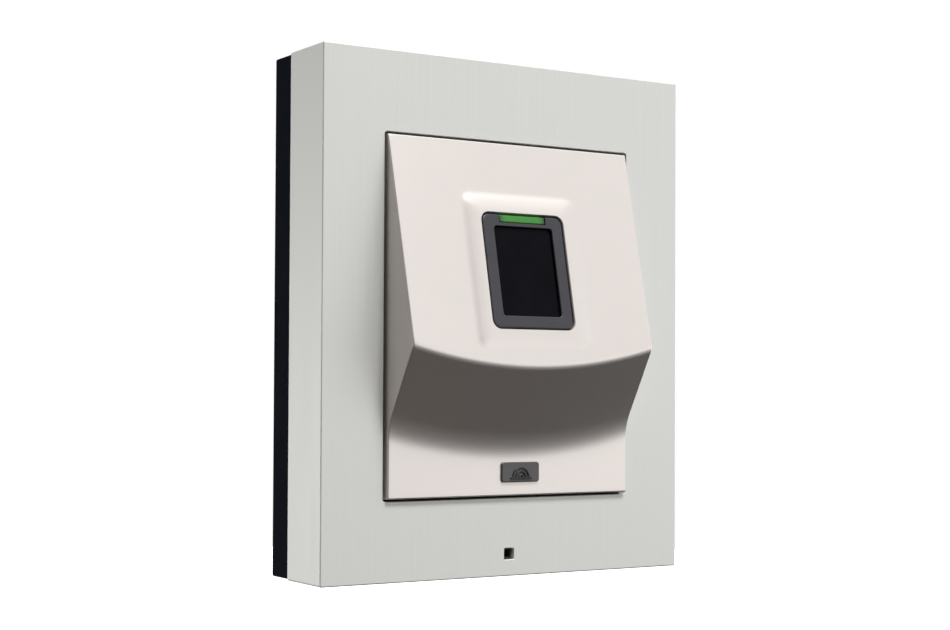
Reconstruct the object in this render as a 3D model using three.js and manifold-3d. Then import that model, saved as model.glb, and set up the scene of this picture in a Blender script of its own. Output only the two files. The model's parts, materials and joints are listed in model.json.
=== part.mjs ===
// Wall-mounted fingerprint terminal: back plate, metal frame and a wedge-shaped reader module.
// Millimetres. +Z is up, +X is to the right as seen from the front, and +Y points into the wall.
// The origin is the centre of the face that rests on the wall, so every piece lies at negative y.
// "Distance" always means the distance in front of the wall, which is -y.
import * as THREE from "three";
import { mergeVertices } from "three/addons/utils/BufferGeometryUtils.js";
import Module from "manifold-3d";

// ---------------------------------------------------------------- driving dimensions
const WIDTH = 107;
const HEIGHT = 130;
const GASKET_THICKNESS = 1.5;
const PLATE_DEPTH = 9;
const FRAME_DEPTH = 17.5;

const REST_GAP = 0.05; // between square faces that rest on each other
const TILT_GAP = 0.3; // between pieces of the tilted sensor
const RUN_GAP = 0.25; // round a piece that slides or a pin in its hole

const FRAME_WALL = 2.5;
const FRAME_CORNER_RADIUS = 0.6;
const PLATE_INSET = 0.3;
const PLATE_FLOOR = 2.5;
const PLATE_WALL = 4;
const GASKET_INSET = 3;
const GASKET_CORNER_RADIUS = 4;

const OPENING_WIDTH = 73.3;
const OPENING_HEIGHT = 90.2;
const OPENING_Z = -0.2;
const OPENING_RADIUS = 0.8;
const OPENING_GAP = 0.65; // dark line round the reader

const BEZEL_WALL = 2.2;
const BEZEL_EDGE_RADIUS = 0.4;
const FLANGE_THICKNESS = 1.5;
const FLANGE_OVERLAP = 2.4; // how far the flange reaches behind the frame
const SEAL_THICKNESS = 1;
const FACE_TOP_RISE = 0.45; // the face's top edge, in front of the frame
const RIDGE_RISE = 12.9; // the chin's ridge, in front of the frame
const LOWER_FACE_RISE = 1.2;
const RIDGE_DROP = 51.5; // from the reader's top edge to the ridge at its sides
const UNDERSIDE_DROP = 19.9; // from the ridge to the lower face
const CHIN_SAG = 4.95; // how much lower the ridge is at its middle
const SIDE_DRAFT = 0.03; // side wall lean, per millimetre of rise
const RIDGE_RADIUS = 3.2;
const COVE_RADIUS = 15;

const SENSOR_TILT = 0.212; // radians, the top leaning back
const SENSOR_Z = 11.6;
const SENSOR_RISE = 8.2; // ring centre, in front of the frame
const RING_WIDTH = 23.9;
const RING_LENGTH = 29.2;
const RING_RADIUS = 2;
const RING_DEPTH = 5;
const RING_LIP = 0.5;
const RING_FLANGE = 1.5;
const RING_FLANGE_REACH = 1.5; // how far the flange reaches behind the bezel's wall
const RING_BORDER_SIDE = 3.25; // ring face beside the window
const RING_BORDER_END = 3.1; // ring face above and below the window
const WINDOW_RADIUS = 0.8;
const WINDOW_SEAT = 1.1; // the glass's overlap behind the ring's lip
const GLASS_THICKNESS = 1.2;
const LIGHT_WIDTH = 13.6;
const LIGHT_HEIGHT = 1.8;
const LIGHT_BELOW_RING_TOP = 0.15;
const PRISM_INSET_SIDE = 0.5; // inside the window's sides
const PRISM_INSET_END = 1.5;
const PRISM_FRONT_DEPTH = 3; // straight part before the slanted cut
const PRISM_SLANT = 7;
const HOLDER_WALL = 2.1;
const BOSS_FOOT = 5; // width of the slope round the sensor
const BOSS_SOFT_FOOT = 0.22; // share of that width over which the slope starts
const BOSS_CROWN = 1.8; // power of the slope's crowned profile
const BOSS_CORNER = 5; // power that sets how sharp the boss's mitred corners are
const BOSS_MARGIN = 0.35;
const BOSS_RISE_TOP = 0.8;
const BOSS_RISE_BOTTOM = 0.65;
const SENSOR_BOARD_WIDTH = 22;
const SENSOR_BOARD_THICKNESS = 1.2;
const SENSOR_BOARD_END = 2.5; // from a screw's axis to the board's end
const SENSOR_CHIP_ROOM = 1.6; // from the prism to the sensor board
const SENSOR_BACK_CLEARANCE = 1.33; // from the sensor board's rear edge to the reader board
const SENSOR_BOSS_RADIUS = 2.1;
const SENSOR_BOSS_GAP = 0.5; // from a boss to the ring's flange

const BADGE_X = 2.3;
const BADGE_Z = -38.75;
const BADGE_WIDTH = 11.4;
const BADGE_HEIGHT = 5.1;
const BADGE_THICKNESS = 0.5;
const EMBLEM_THICKNESS = 0.25;

const PORT_SIZE = 2.9;
const PORT_ABOVE_BOTTOM = 5.6;
const SLEEVE_SIZE = 4.8;

const BOARD_THICKNESS = 1.6;
const BOARD_STANDOFF = 2.5;
const CHASSIS_WALL = 1.8;
const CHASSIS_FLOOR = 1.5;
const CHASSIS_CLEARANCE = 4.3; // from the main board's front to the chassis
const EAR_THICKNESS = 2;
const EAR_REACH = 10.5;
const PILLAR_RADIUS = 4;
const CABLE_Z = -30;
const CABLE_WIDTH = 22;
const CABLE_HEIGHT = 14;
const CABLE_CORNER_RADIUS = 3;
const GROMMET_WALL = 3;
const SLOT_WIDTH = 3.8;
const SLOT_LENGTH = 9;
const SLOT_X = 30;
const SLOT_Z = 40;
const SLOT_ACCESS_RADIUS = 5; // hole in the main board over each wall screw
const EAR_SCREW_Z = 36;
const HOOK_X = 30;
const HOOK_WIDTH = 10;
const HOOK_THICKNESS = 1.7;
const HOOK_RISE = 6.5; // top of the hook, in front of the back plate
const HOOK_POST_THICKNESS = 2.5;
const HOOK_REACH = 5;
const TONGUE_WIDTH = 9;
const TONGUE_THICKNESS = 2.1;
const TONGUE_REACH = 2; // inwards from the frame's wall
const LUG_WIDTH = 9;
const LUG_HEIGHT = 7;
const FRAME_SCREW_X = 34;
const FRAME_SCREW_RISE = 7.5; // from the plate's front to the screw's axis

// Screws: radii of the head and shank, the head's height, and the length below the head.
const FRAME_SCREW = { head: 3, shank: 1.4, height: 1.4, length: 6.6 };
const EAR_SCREW = { head: 2.8, shank: 1.4, height: 1.7, length: 9 };
const BOARD_SCREW = { head: 2.5, shank: 1, height: 1.5, length: 4.5 };
const CHASSIS_SCREW = { head: 2.2, shank: 1, height: 1.3, length: 7.5 };
const SENSOR_SCREW = { head: 1.8, shank: 0.8, height: 1, length: 5.7 };
const PILOT_GAP = 0.15; // round a shank in the hole it bites into
const SHANK_GAP = 0.35; // round a shank in the piece it clamps
const FRAME_SCREW_SUNK = 0.15; // below the frame's face
const BOARD_BOSS_RADIUS = 3;
const POST_RADIUS = 2.6;
const POST_TIP_RADIUS = 2; // through the reader board
const READER_BOARD_WIDTH = 66;
const READER_BOARD_HEIGHT = 86;
const STANDOFF_X = 20;
const STANDOFF_Z = 32;

const TAMPER_TRAVEL = 1;
const RESET_TRAVEL = 0.5;

const ARC_STEPS = 3;
const ROUND_SIDES = 12;
const HOLE_SIDES = 8;

// ---------------------------------------------------------------- places worked out from them
const plateBack = GASKET_THICKNESS;
const plateFront = plateBack + PLATE_DEPTH;
const frameFront = plateFront + FRAME_DEPTH;
const frameInside = frameFront - FRAME_WALL;
const floorFront = plateBack + PLATE_FLOOR;
const plateWidth = WIDTH - 2 * PLATE_INSET;
const plateHeight = HEIGHT - 2 * PLATE_INSET;
const trayWidth = plateWidth - 2 * PLATE_WALL;
const trayHeight = plateHeight - 2 * PLATE_WALL;

const readerWidth = OPENING_WIDTH - 2 * OPENING_GAP;
const readerHeight = OPENING_HEIGHT - 2 * OPENING_GAP;
const readerTop = OPENING_Z + readerHeight / 2;
const readerBottom = OPENING_Z - readerHeight / 2;
const flangeFront = frameInside - SEAL_THICKNESS;
const flangeBack = flangeFront - FLANGE_THICKNESS;
const flangeWidth = OPENING_WIDTH + 2 * FLANGE_OVERLAP;
const flangeHeight = OPENING_HEIGHT + 2 * FLANGE_OVERLAP;

const boardBack = floorFront + BOARD_STANDOFF + REST_GAP;
const boardFront = boardBack + BOARD_THICKNESS;
const partsBack = boardFront + REST_GAP;
const chassisBack = boardFront + CHASSIS_CLEARANCE;
const chassisFloorFront = chassisBack + CHASSIS_FLOOR;
const chassisFront = flangeBack - REST_GAP;
const earBack = chassisFront - EAR_THICKNESS;
const chassisWidth = flangeWidth - 2;
const chassisHeight = flangeHeight - 2;
const earScrewX = chassisWidth / 2 + EAR_REACH / 2 + 0.6;
const postX = readerWidth / 2 - 5.5;
const postZ = readerHeight / 2 - 6;
const readerBoardBack = chassisFloorFront + 1.5;
const readerBoardFront = readerBoardBack + BOARD_THICKNESS;

const sensorDistance = frameFront + SENSOR_RISE;
const windowWidth = RING_WIDTH - 2 * RING_BORDER_SIDE;
const windowLength = RING_LENGTH - 2 * RING_BORDER_END;
const prismWidth = windowWidth - 2 * PRISM_INSET_SIDE;
const prismLength = windowLength - 2 * PRISM_INSET_END;
const glassFront = RING_LIP + TILT_GAP;
const glassBack = glassFront + GLASS_THICKNESS;
const ringFlangeFront = RING_DEPTH - RING_FLANGE;
const ringFlangeLength = RING_LENGTH + 2 * RING_FLANGE_REACH;
const sensorScrewOffset = ringFlangeLength / 2 + SENSOR_BOSS_GAP + SENSOR_BOSS_RADIUS;
const sensorBoardLength = 2 * (sensorScrewOffset + SENSOR_BOARD_END);
const sensorRoom = sensorDistance - readerBoardFront - SENSOR_BACK_CLEARANCE;
const sensorLean = (sensorBoardLength / 2) * Math.sin(SENSOR_TILT);
const sensorBoardBack = (sensorRoom - sensorLean) / Math.cos(SENSOR_TILT);
const sensorBoardFront = sensorBoardBack - SENSOR_BOARD_THICKNESS;
const prismFront = glassBack + TILT_GAP;
const prismBack = sensorBoardFront - SENSOR_CHIP_ROOM;
const holderFront = RING_DEPTH + TILT_GAP;
const holderBack = sensorBoardFront - TILT_GAP;

const portZ = -HEIGHT / 2 + PORT_ABOVE_BOTTOM;
const boardTop = trayHeight / 2 - 4.2;
const boardBottom = -(trayHeight / 2 - 6.2);
const boardScrewX = trayWidth / 2 - 8;
const boardScrewTop = boardTop - 4.5;
const boardScrewBottom = boardBottom + 4.5;
const sideX = (chassisWidth / 2 + trayWidth / 2) / 2 - 0.6; // middle of the strip beside the reader
const topStripZ = (chassisHeight / 2 + OPENING_Z + boardTop) / 2;
const bottomStripZ = (-chassisHeight / 2 + OPENING_Z + boardBottom) / 2;
const frameScrewDistance = plateFront + FRAME_SCREW_RISE;
const hookFront = plateFront + HOOK_RISE;
const hookBack = hookFront - HOOK_THICKNESS;
const tongueFront = hookBack - TILT_GAP;

// ---------------------------------------------------------------- finishes
const finishes = {
  metal: { color: 0xc6cbc4, roughness: 0.42, metalness: 0.8 },
  darkPlastic: { color: 0x14171d, roughness: 0.55, metalness: 0 },
  shell: { color: 0xe8e2de, roughness: 0.4, metalness: 0 },
  slate: { color: 0x48494f, roughness: 0.5, metalness: 0 },
  rubber: { color: 0x16171a, roughness: 0.85, metalness: 0 },
  glass: { color: 0x0a0a0e, roughness: 0.08, metalness: 0 },
  green: { color: 0x3fae3a, roughness: 0.3, metalness: 0 },
  badgeGrey: { color: 0x6d6b71, roughness: 0.35, metalness: 0.3 },
  badgeDark: { color: 0x26262b, roughness: 0.4, metalness: 0 },
  board: { color: 0x1f5a3a, roughness: 0.45, metalness: 0 },
  chip: { color: 0x1b1c1e, roughness: 0.4, metalness: 0 },
  steel: { color: 0xb9bcc0, roughness: 0.3, metalness: 1 },
  whitePlastic: { color: 0xe4e4e0, roughness: 0.5, metalness: 0 },
  terminalGreen: { color: 0x2f7d4c, roughness: 0.5, metalness: 0 },
  ribbon: { color: 0xc9a36a, roughness: 0.4, metalness: 0 },
};

// ---------------------------------------------------------------- solids
const wasm = await Module();
wasm.setup();

function toSolid(geometry) {
  const bare = geometry.clone();
  bare.deleteAttribute("normal");
  bare.deleteAttribute("uv");
  const merged = mergeVertices(bare, 1e-4);
  return new wasm.Manifold(
    new wasm.Mesh({
      numProp: 3,
      vertProperties: merged.attributes.position.array,
      triVerts: new Uint32Array(merged.index.array),
    }),
  );
}

function toGeometry(solid) {
  const mesh = solid.getMesh();
  const geometry = new THREE.BufferGeometry();
  geometry.setAttribute("position", new THREE.BufferAttribute(mesh.vertProperties, 3));
  geometry.setIndex(new THREE.BufferAttribute(mesh.triVerts, 1));
  return geometry;
}

function cut(geometry, ...tools) {
  let solid = toSolid(geometry);
  for (const tool of tools) {
    solid = solid.subtract(toSolid(tool));
  }
  return toGeometry(solid);
}

function join(geometry, ...others) {
  let solid = toSolid(geometry);
  for (const other of others) {
    solid = solid.add(toSolid(other));
  }
  return toGeometry(solid);
}

function common(geometry, other) {
  return toGeometry(toSolid(geometry).intersect(toSolid(other)));
}

function roundRect(width, height, radius, x = 0, z = 0) {
  const w = width / 2 - radius;
  const h = height / 2 - radius;
  const shape = new THREE.Shape();
  shape.absarc(x + w, z + h, radius, 0, Math.PI / 2);
  shape.absarc(x - w, z + h, radius, Math.PI / 2, Math.PI);
  shape.absarc(x - w, z - h, radius, Math.PI, 1.5 * Math.PI);
  shape.absarc(x + w, z - h, radius, 1.5 * Math.PI, 2 * Math.PI);
  shape.closePath();
  return shape;
}

// A shape drawn in X and Z, made solid between two distances from the wall.
function slab(shape, near, far) {
  const options = { depth: far - near, bevelEnabled: false, curveSegments: ARC_STEPS };
  const geometry = new THREE.ExtrudeGeometry(shape, options);
  geometry.rotateX(Math.PI / 2);
  geometry.translate(0, -near, 0);
  return geometry;
}

// A shape drawn in Y and Z, made solid along X and centred on x.
function bar(shape, width, x) {
  const options = { depth: width, bevelEnabled: false, curveSegments: ARC_STEPS };
  const geometry = new THREE.ExtrudeGeometry(shape, options);
  const toY = new THREE.Vector3(0, 1, 0);
  const toZ = new THREE.Vector3(0, 0, 1);
  const toX = new THREE.Vector3(1, 0, 0);
  geometry.applyMatrix4(new THREE.Matrix4().makeBasis(toY, toZ, toX));
  geometry.translate(x - width / 2, 0, 0);
  return geometry;
}

function block(width, height, near, far, x, z) {
  const geometry = new THREE.BoxGeometry(width, far - near, height);
  geometry.translate(x, -(near + far) / 2, z);
  return geometry;
}

function rod(radius, near, far, x, z, sides = ROUND_SIDES) {
  const geometry = new THREE.CylinderGeometry(radius, radius, far - near, sides);
  geometry.translate(x, -(near + far) / 2, z);
  return geometry;
}

function fourCorners(x, z, centreZ = 0) {
  return [
    [-x, centreZ + z],
    [x, centreZ + z],
    [-x, centreZ - z],
    [x, centreZ - z],
  ];
}

// A pan-head screw whose head points away from the wall, with a six-sided socket.
function panScrew({ head: wide, shank: narrow, height, length }, seat, x, z) {
  const head = rod(wide, seat + REST_GAP, seat + REST_GAP + height, x, z);
  const shank = rod(narrow, seat - length, seat + REST_GAP + 0.2, x, z, HOLE_SIDES);
  const socketBottom = seat + REST_GAP + height * 0.4;
  const socket = rod(wide * 0.45, socketBottom, seat + height + 1, x, z, 6);
  return cut(join(head, shank), socket);
}

// ---------------------------------------------------------------- the reader's wedge
const ridgeZ = readerTop - RIDGE_DROP;
const sagPerSquare = CHIN_SAG / (readerWidth / 2) ** 2;

function chinDrop(x) {
  return CHIN_SAG - sagPerSquare * x * x;
}

// Corner points of the front outline at one x, as (z, distance), moved inwards by inset.
function outlineCorners(x, inset, back) {
  const drop = chinDrop(x);
  const points = [
    new THREE.Vector2(readerTop, back),
    new THREE.Vector2(readerTop, frameFront + FACE_TOP_RISE),
    new THREE.Vector2(ridgeZ - drop, frameFront + RIDGE_RISE),
    new THREE.Vector2(ridgeZ - drop - UNDERSIDE_DROP, frameFront + LOWER_FACE_RISE),
    new THREE.Vector2(readerBottom, frameFront + LOWER_FACE_RISE),
    new THREE.Vector2(readerBottom, back),
  ];
  const sides = [];
  for (let i = 0; i + 1 < points.length; i++) {
    const along = points[i + 1].clone().sub(points[i]).normalize();
    const inward = new THREE.Vector2(-along.y, along.x);
    sides.push({ along, from: points[i].clone().addScaledVector(inward, inset) });
  }
  const corners = [new THREE.Vector2(readerTop - inset, back)];
  for (let i = 0; i + 1 < sides.length; i++) {
    corners.push(meet(sides[i], sides[i + 1]));
  }
  corners.push(new THREE.Vector2(readerBottom + inset, back));
  return corners;
}

function meet(first, second) {
  const between = second.from.clone().sub(first.from);
  const share = between.cross(second.along) / first.along.cross(second.along);
  return first.from.clone().addScaledVector(first.along, share);
}

// Points of an arc of the given radius that rounds the corner at b.
function roundedCorner(a, b, c, radius, steps) {
  const into = b.clone().sub(a).normalize();
  const out = c.clone().sub(b).normalize();
  const turn = Math.acos(THREE.MathUtils.clamp(into.dot(out), -1, 1));
  const setBack = radius * Math.tan(turn / 2);
  const start = b.clone().addScaledVector(into, -setBack);
  const side = Math.sign(into.cross(out));
  const centre = start.clone().add(new THREE.Vector2(-into.y, into.x).multiplyScalar(side * radius));
  const points = [];
  for (let i = 0; i <= steps; i++) {
    points.push(start.clone().rotateAround(centre, (side * turn * i) / steps));
  }
  return points;
}

// The whole front outline at one x: rounded corners, with extra points down the sloping face.
function outline(x, inset, back, faceSteps, arcSteps) {
  const c = outlineCorners(x, inset, back);
  const edge = Math.max(BEZEL_EDGE_RADIUS - inset, 0.2);
  const ridge = Math.max(RIDGE_RADIUS - inset, 0.3);
  const top = roundedCorner(c[0], c[1], c[2], edge, 2);
  const nose = roundedCorner(c[1], c[2], c[3], ridge, arcSteps);
  const cove = roundedCorner(c[2], c[3], c[4], COVE_RADIUS + inset, arcSteps);
  const foot = roundedCorner(c[3], c[4], c[5], edge, 2);
  const face = [];
  for (let i = 1; i < faceSteps; i++) {
    face.push(top[top.length - 1].clone().lerp(nose[0], i / faceSteps));
  }
  return [c[0], ...top, ...face, ...nose, ...cove, ...foot, c[5]];
}

// Crowned boss that the sensor sits on: its rise over the sloping face.
function bossRise(x, z) {
  const halfWidth = RING_WIDTH / 2 + BOSS_MARGIN;
  const halfHeight = (RING_LENGTH / 2) * Math.cos(SENSOR_TILT) + BOSS_MARGIN;
  const outX = Math.max(Math.abs(x) - halfWidth, 0);
  const outZ = Math.max(Math.abs(z - SENSOR_Z) - halfHeight, 0);
  const beyond = (outX ** BOSS_CORNER + outZ ** BOSS_CORNER) ** (1 / BOSS_CORNER);
  const inside = Math.max(0, 1 - beyond / BOSS_FOOT);
  const crown = 1 - (1 - inside) ** BOSS_CROWN;
  const share = crown * THREE.MathUtils.smoothstep(inside, 0, BOSS_SOFT_FOOT);
  const up = THREE.MathUtils.clamp((z - SENSOR_Z) / RING_LENGTH + 0.5, 0, 1);
  return share * THREE.MathUtils.lerp(BOSS_RISE_BOTTOM, BOSS_RISE_TOP, up);
}

// Stations across the reader, closer together at the rounded sides and on the boss's slopes.
function stations(halfWidth, edge, withBoss) {
  const right = [];
  for (let i = 0; i <= 2; i++) {
    right.push(halfWidth - edge * (1 - Math.sin((i * Math.PI) / 4)));
  }
  const inner = withBoss ? [6, 12, 13.4, 15, 17.2, 23, 29.5] : [12, 24];
  const list = [...inner, ...right];
  return [...list.map((x) => -x).reverse(), 0, ...list];
}

// The wedge as a closed solid, drawn inset inside the reader's outer surface.
function wedge(inset, back, withBoss) {
  const half = readerWidth / 2 - inset;
  const edge = Math.max(BEZEL_EDGE_RADIUS - inset, 0.2);
  const across = stations(half, edge, withBoss);
  const lean = (distance) => 1 - (SIDE_DRAFT * (distance - frameFront)) / half;
  const vertices = [];
  const columns = [];
  for (const x of across) {
    const points = outline(x, inset, back, withBoss ? 13 : 1, withBoss ? 4 : 2);
    const overEdge = Math.max(Math.abs(x) - (half - edge), 0);
    const edgeDrop = edge - Math.sqrt(Math.max(edge * edge - overEdge * overEdge, 0));
    const last = points.length - 1;
    const column = { front: [], behind: [] };
    points.forEach((point, i) => {
      const isBack = i === 0 || i === last;
      const rise = withBoss && !isBack ? bossRise(x, point.x) : 0;
      const distance = isBack ? back : point.y - edgeDrop + rise;
      column.front.push(vertices.length / 3);
      vertices.push(x * lean(distance), -distance, point.x);
    });
    points.forEach((point, i) => {
      if (i === 0 || i === last) {
        column.behind.push(column.front[i]);
        return;
      }
      const height = points[0].x - points[last].x;
      const even = points[0].x - (height * i) / last;
      column.behind.push(vertices.length / 3);
      vertices.push(x * lean(back), -back, THREE.MathUtils.lerp(point.x, even, 0.04));
    });
    columns.push(column);
  }
  const faces = [];
  const quad = (a, b, c, d) => {
    if (a !== b && b !== c && a !== c) faces.push(a, b, c);
    if (a !== c && c !== d && a !== d) faces.push(a, c, d);
  };
  const rows = columns[0].front.length;
  for (let i = 0; i + 1 < columns.length; i++) {
    for (let j = 0; j + 1 < rows; j++) {
      const a = columns[i];
      const b = columns[i + 1];
      quad(a.front[j], a.front[j + 1], b.front[j + 1], b.front[j]);
      quad(a.behind[j], b.behind[j], b.behind[j + 1], a.behind[j + 1]);
    }
  }
  const left = columns[0];
  const right = columns[columns.length - 1];
  for (let j = 0; j + 1 < rows; j++) {
    quad(left.front[j], left.behind[j], left.behind[j + 1], left.front[j + 1]);
    quad(right.front[j], right.front[j + 1], right.behind[j + 1], right.behind[j]);
  }
  const geometry = new THREE.BufferGeometry();
  geometry.setAttribute("position", new THREE.Float32BufferAttribute(vertices, 3));
  geometry.setIndex(faces);
  return geometry;
}

// ---------------------------------------------------------------- the tilted sensor's own frame
// Inside it, z runs up the sensor's face and distances are measured behind that face.
function sensorGroup() {
  const group = new THREE.Group();
  group.position.set(0, -sensorDistance, SENSOR_Z);
  group.rotation.x = -SENSOR_TILT;
  return group;
}

function tilted(geometry) {
  const group = sensorGroup();
  group.updateMatrix();
  return geometry.clone().applyMatrix4(group.matrix);
}

// A shape drawn on the sensor's face, made solid between two depths behind it.
function sunk(shape, shallow, deep) {
  return slab(shape, -deep, -shallow);
}

// ---------------------------------------------------------------- casing pieces
function makeGasket() {
  const sheet = roundRect(WIDTH - 2 * GASKET_INSET, HEIGHT - 2 * GASKET_INSET, GASKET_CORNER_RADIUS);
  const cable = roundRect(CABLE_WIDTH, CABLE_HEIGHT, CABLE_CORNER_RADIUS, 0, CABLE_Z);
  const back = slab(sheet, 0, plateBack - REST_GAP);
  return cut(back, slab(cable, -1, plateBack + 1), ...wallSlots());
}

// Upright slots for the four wall screws, cut through the plate's floor and the sheet behind it.
function wallSlots() {
  return fourCorners(SLOT_X, SLOT_Z).map(([x, z]) =>
    slab(roundRect(SLOT_WIDTH, SLOT_LENGTH, SLOT_WIDTH / 2 - 0.01, x, z), -1, floorFront + 1),
  );
}

const sealGrooveWidth = FRAME_WALL - 1.1;
const sealGrooveInset = FRAME_WALL - sealGrooveWidth + 0.1; // from the frame's outer face
const sealGrooveDepth = 1.2;

function ringShape(inset, width) {
  const shape = roundRect(WIDTH - 2 * inset, HEIGHT - 2 * inset, 1.2);
  const innerInset = inset + width;
  shape.holes.push(roundRect(WIDTH - 2 * innerInset, HEIGHT - 2 * innerInset, 1));
  return shape;
}

function frameScrewLug(x) {
  const bottom = -HEIGHT / 2 + FRAME_WALL + RUN_GAP;
  const front = frameScrewDistance + FRAME_SCREW.shank + 2.1;
  return block(LUG_WIDTH, LUG_HEIGHT, plateBack + 1, front, x, bottom + LUG_HEIGHT / 2);
}

function frameHookPost(x) {
  const noseTop = HEIGHT / 2 - FRAME_WALL - 0.5;
  const noseZ = noseTop - HOOK_REACH / 2;
  const postZ = noseTop - HOOK_REACH + HOOK_POST_THICKNESS / 2;
  const post = block(HOOK_WIDTH, HOOK_POST_THICKNESS, plateBack + 1, hookFront, x, postZ);
  return join(post, block(HOOK_WIDTH, HOOK_REACH, hookBack, hookFront, x, noseZ));
}

function makeBackPlate() {
  const outer = slab(roundRect(plateWidth, plateHeight, 0.6), plateBack, plateFront - REST_GAP);
  const tray = slab(roundRect(trayWidth, trayHeight, 2), floorFront, plateFront + 1);
  const groove = slab(
    ringShape(sealGrooveInset - 0.1, sealGrooveWidth + 0.2),
    plateFront - sealGrooveDepth,
    plateFront + 1,
  );
  const shell = cut(outer, tray, groove);
  const boardBosses = boardScrewPlaces().map(([x, z]) =>
    rod(BOARD_BOSS_RADIUS, plateBack + 1, boardBack - REST_GAP, x, z),
  );
  const pillars = fourCorners(earScrewX, EAR_SCREW_Z).map(([x, z]) =>
    rod(PILLAR_RADIUS, plateBack + 1, earBack - REST_GAP, x, z),
  );
  const lugs = [-FRAME_SCREW_X, FRAME_SCREW_X].map(frameScrewLug);
  const hooks = [-HOOK_X, HOOK_X].map(frameHookPost);
  const solid = join(shell, ...boardBosses, ...pillars, ...lugs, ...hooks);
  const cableShape = roundRect(CABLE_WIDTH, CABLE_HEIGHT, CABLE_CORNER_RADIUS, 0, CABLE_Z);
  const cable = slab(cableShape, 0, floorFront + 1);
  const boardPilots = boardScrewPlaces().map(([x, z]) =>
    rod(BOARD_SCREW.shank + PILOT_GAP, plateBack + 1.2, boardBack + 1, x, z, HOLE_SIDES),
  );
  const earPilots = fourCorners(earScrewX, EAR_SCREW_Z).map(([x, z]) =>
    rod(EAR_SCREW.shank + PILOT_GAP, earBack - EAR_SCREW.length, earBack + 1, x, z, HOLE_SIDES),
  );
  const lugPilots = [-FRAME_SCREW_X, FRAME_SCREW_X].map((x) =>
    upright(
      FRAME_SCREW.shank + PILOT_GAP,
      -HEIGHT / 2,
      -HEIGHT / 2 + FRAME_WALL + FRAME_SCREW.length - 0.6,
      x,
      frameScrewDistance,
    ),
  );
  const sleeveRoom = block(
    SLEEVE_SIZE + 2 * RUN_GAP,
    SLEEVE_SIZE + 2 * RUN_GAP,
    boardFront - 0.3,
    plateFront + 1,
    0,
    portZ,
  );
  return cut(solid, cable, ...wallSlots(), ...boardPilots, ...earPilots, ...lugPilots, sleeveRoom);
}

function boardScrewPlaces() {
  return [
    [-boardScrewX, boardScrewTop],
    [boardScrewX, boardScrewTop],
    [-boardScrewX, boardScrewBottom],
    [boardScrewX, boardScrewBottom],
  ];
}

// A round solid standing along Z, from one height to another.
function upright(radius, bottom, top, x, distance, topRadius = radius, sides = HOLE_SIDES) {
  const geometry = new THREE.CylinderGeometry(topRadius, radius, top - bottom, sides);
  geometry.rotateX(Math.PI / 2);
  geometry.translate(x, -distance, (bottom + top) / 2);
  return geometry;
}

function makeGrommet() {
  const gap = 0.1;
  const neckWidth = CABLE_WIDTH - 2 * gap;
  const neckHeight = CABLE_HEIGHT - 2 * gap;
  const neckShape = roundRect(neckWidth, neckHeight, CABLE_CORNER_RADIUS, 0, CABLE_Z);
  const neck = slab(neckShape, plateBack, floorFront + 0.5);
  const collar = slab(
    roundRect(CABLE_WIDTH + 3, CABLE_HEIGHT + 3, 4, 0, CABLE_Z),
    floorFront + REST_GAP,
    floorFront + 1.5,
  );
  const way = slab(
    roundRect(neckWidth - 2 * GROMMET_WALL, neckHeight - 2 * GROMMET_WALL, 2, 0, CABLE_Z),
    0,
    floorFront + 3,
  );
  return cut(join(neck, collar), way);
}

function makeFrame() {
  const outer = slab(roundRect(WIDTH, HEIGHT, FRAME_CORNER_RADIUS), plateFront, frameFront);
  const insideShape = roundRect(WIDTH - 2 * FRAME_WALL, HEIGHT - 2 * FRAME_WALL, 0.8);
  const inside = slab(insideShape, plateFront - 1, frameInside);
  const openingShape = roundRect(OPENING_WIDTH, OPENING_HEIGHT, OPENING_RADIUS, 0, OPENING_Z);
  const opening = slab(openingShape, frameInside - 1, frameFront + 1);
  const port = slab(roundRect(PORT_SIZE, PORT_SIZE, 0.3, 0, portZ), frameInside - 1, frameFront + 1);
  const shankHole = FRAME_SCREW.shank + SHANK_GAP;
  const sink = FRAME_SCREW.head + TILT_GAP;
  const screwHoles = [-FRAME_SCREW_X, FRAME_SCREW_X].flatMap((x) => [
    upright(shankHole, -HEIGHT / 2 - 1, -HEIGHT / 2 + FRAME_WALL + 1, x, frameScrewDistance),
    upright(sink, -HEIGHT / 2 - 0.01, -HEIGHT / 2 + 1.6, x, frameScrewDistance, shankHole, ROUND_SIDES),
  ]);
  const shell = cut(outer, inside, opening, port, ...screwHoles);
  const inner = HEIGHT / 2 - FRAME_WALL;
  const tongues = [-HOOK_X, HOOK_X].map((x) =>
    block(TONGUE_WIDTH, 2 * TONGUE_REACH, tongueFront - TONGUE_THICKNESS, tongueFront, x, inner),
  );
  return join(shell, ...tongues);
}

function makeFrameSeal() {
  const shape = ringShape(sealGrooveInset, sealGrooveWidth);
  return slab(shape, plateFront - sealGrooveDepth + REST_GAP, plateFront - REST_GAP);
}

function makeFrameScrew(x) {
  const { head: wide, shank: narrow, height, length } = FRAME_SCREW;
  const bottom = -HEIGHT / 2 + FRAME_SCREW_SUNK;
  const headTop = bottom + height;
  const head = upright(wide, bottom, headTop, x, frameScrewDistance, narrow, ROUND_SIDES);
  const shank = upright(narrow, headTop - 0.2, headTop + length - 0.2, x, frameScrewDistance);
  const socket = upright(wide * 0.4, bottom - 1, bottom + 1, x, frameScrewDistance, wide * 0.4, 6);
  return cut(join(head, shank), socket);
}

function makePortSleeve() {
  const nose = PORT_SIZE - 0.2;
  const shoulder = frameInside - REST_GAP;
  const body = block(SLEEVE_SIZE, SLEEVE_SIZE, partsBack, shoulder, 0, portZ);
  const tip = block(nose, nose, shoulder - 1, frameFront - 1.2, 0, portZ);
  const way = block(1.7, 1.7, partsBack - 1, frameFront + 1, 0, portZ);
  const sensorRoom = block(3, 3, partsBack - 1, partsBack + 1.5, 0, portZ);
  return cut(join(body, tip), way, sensorRoom);
}

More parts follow.
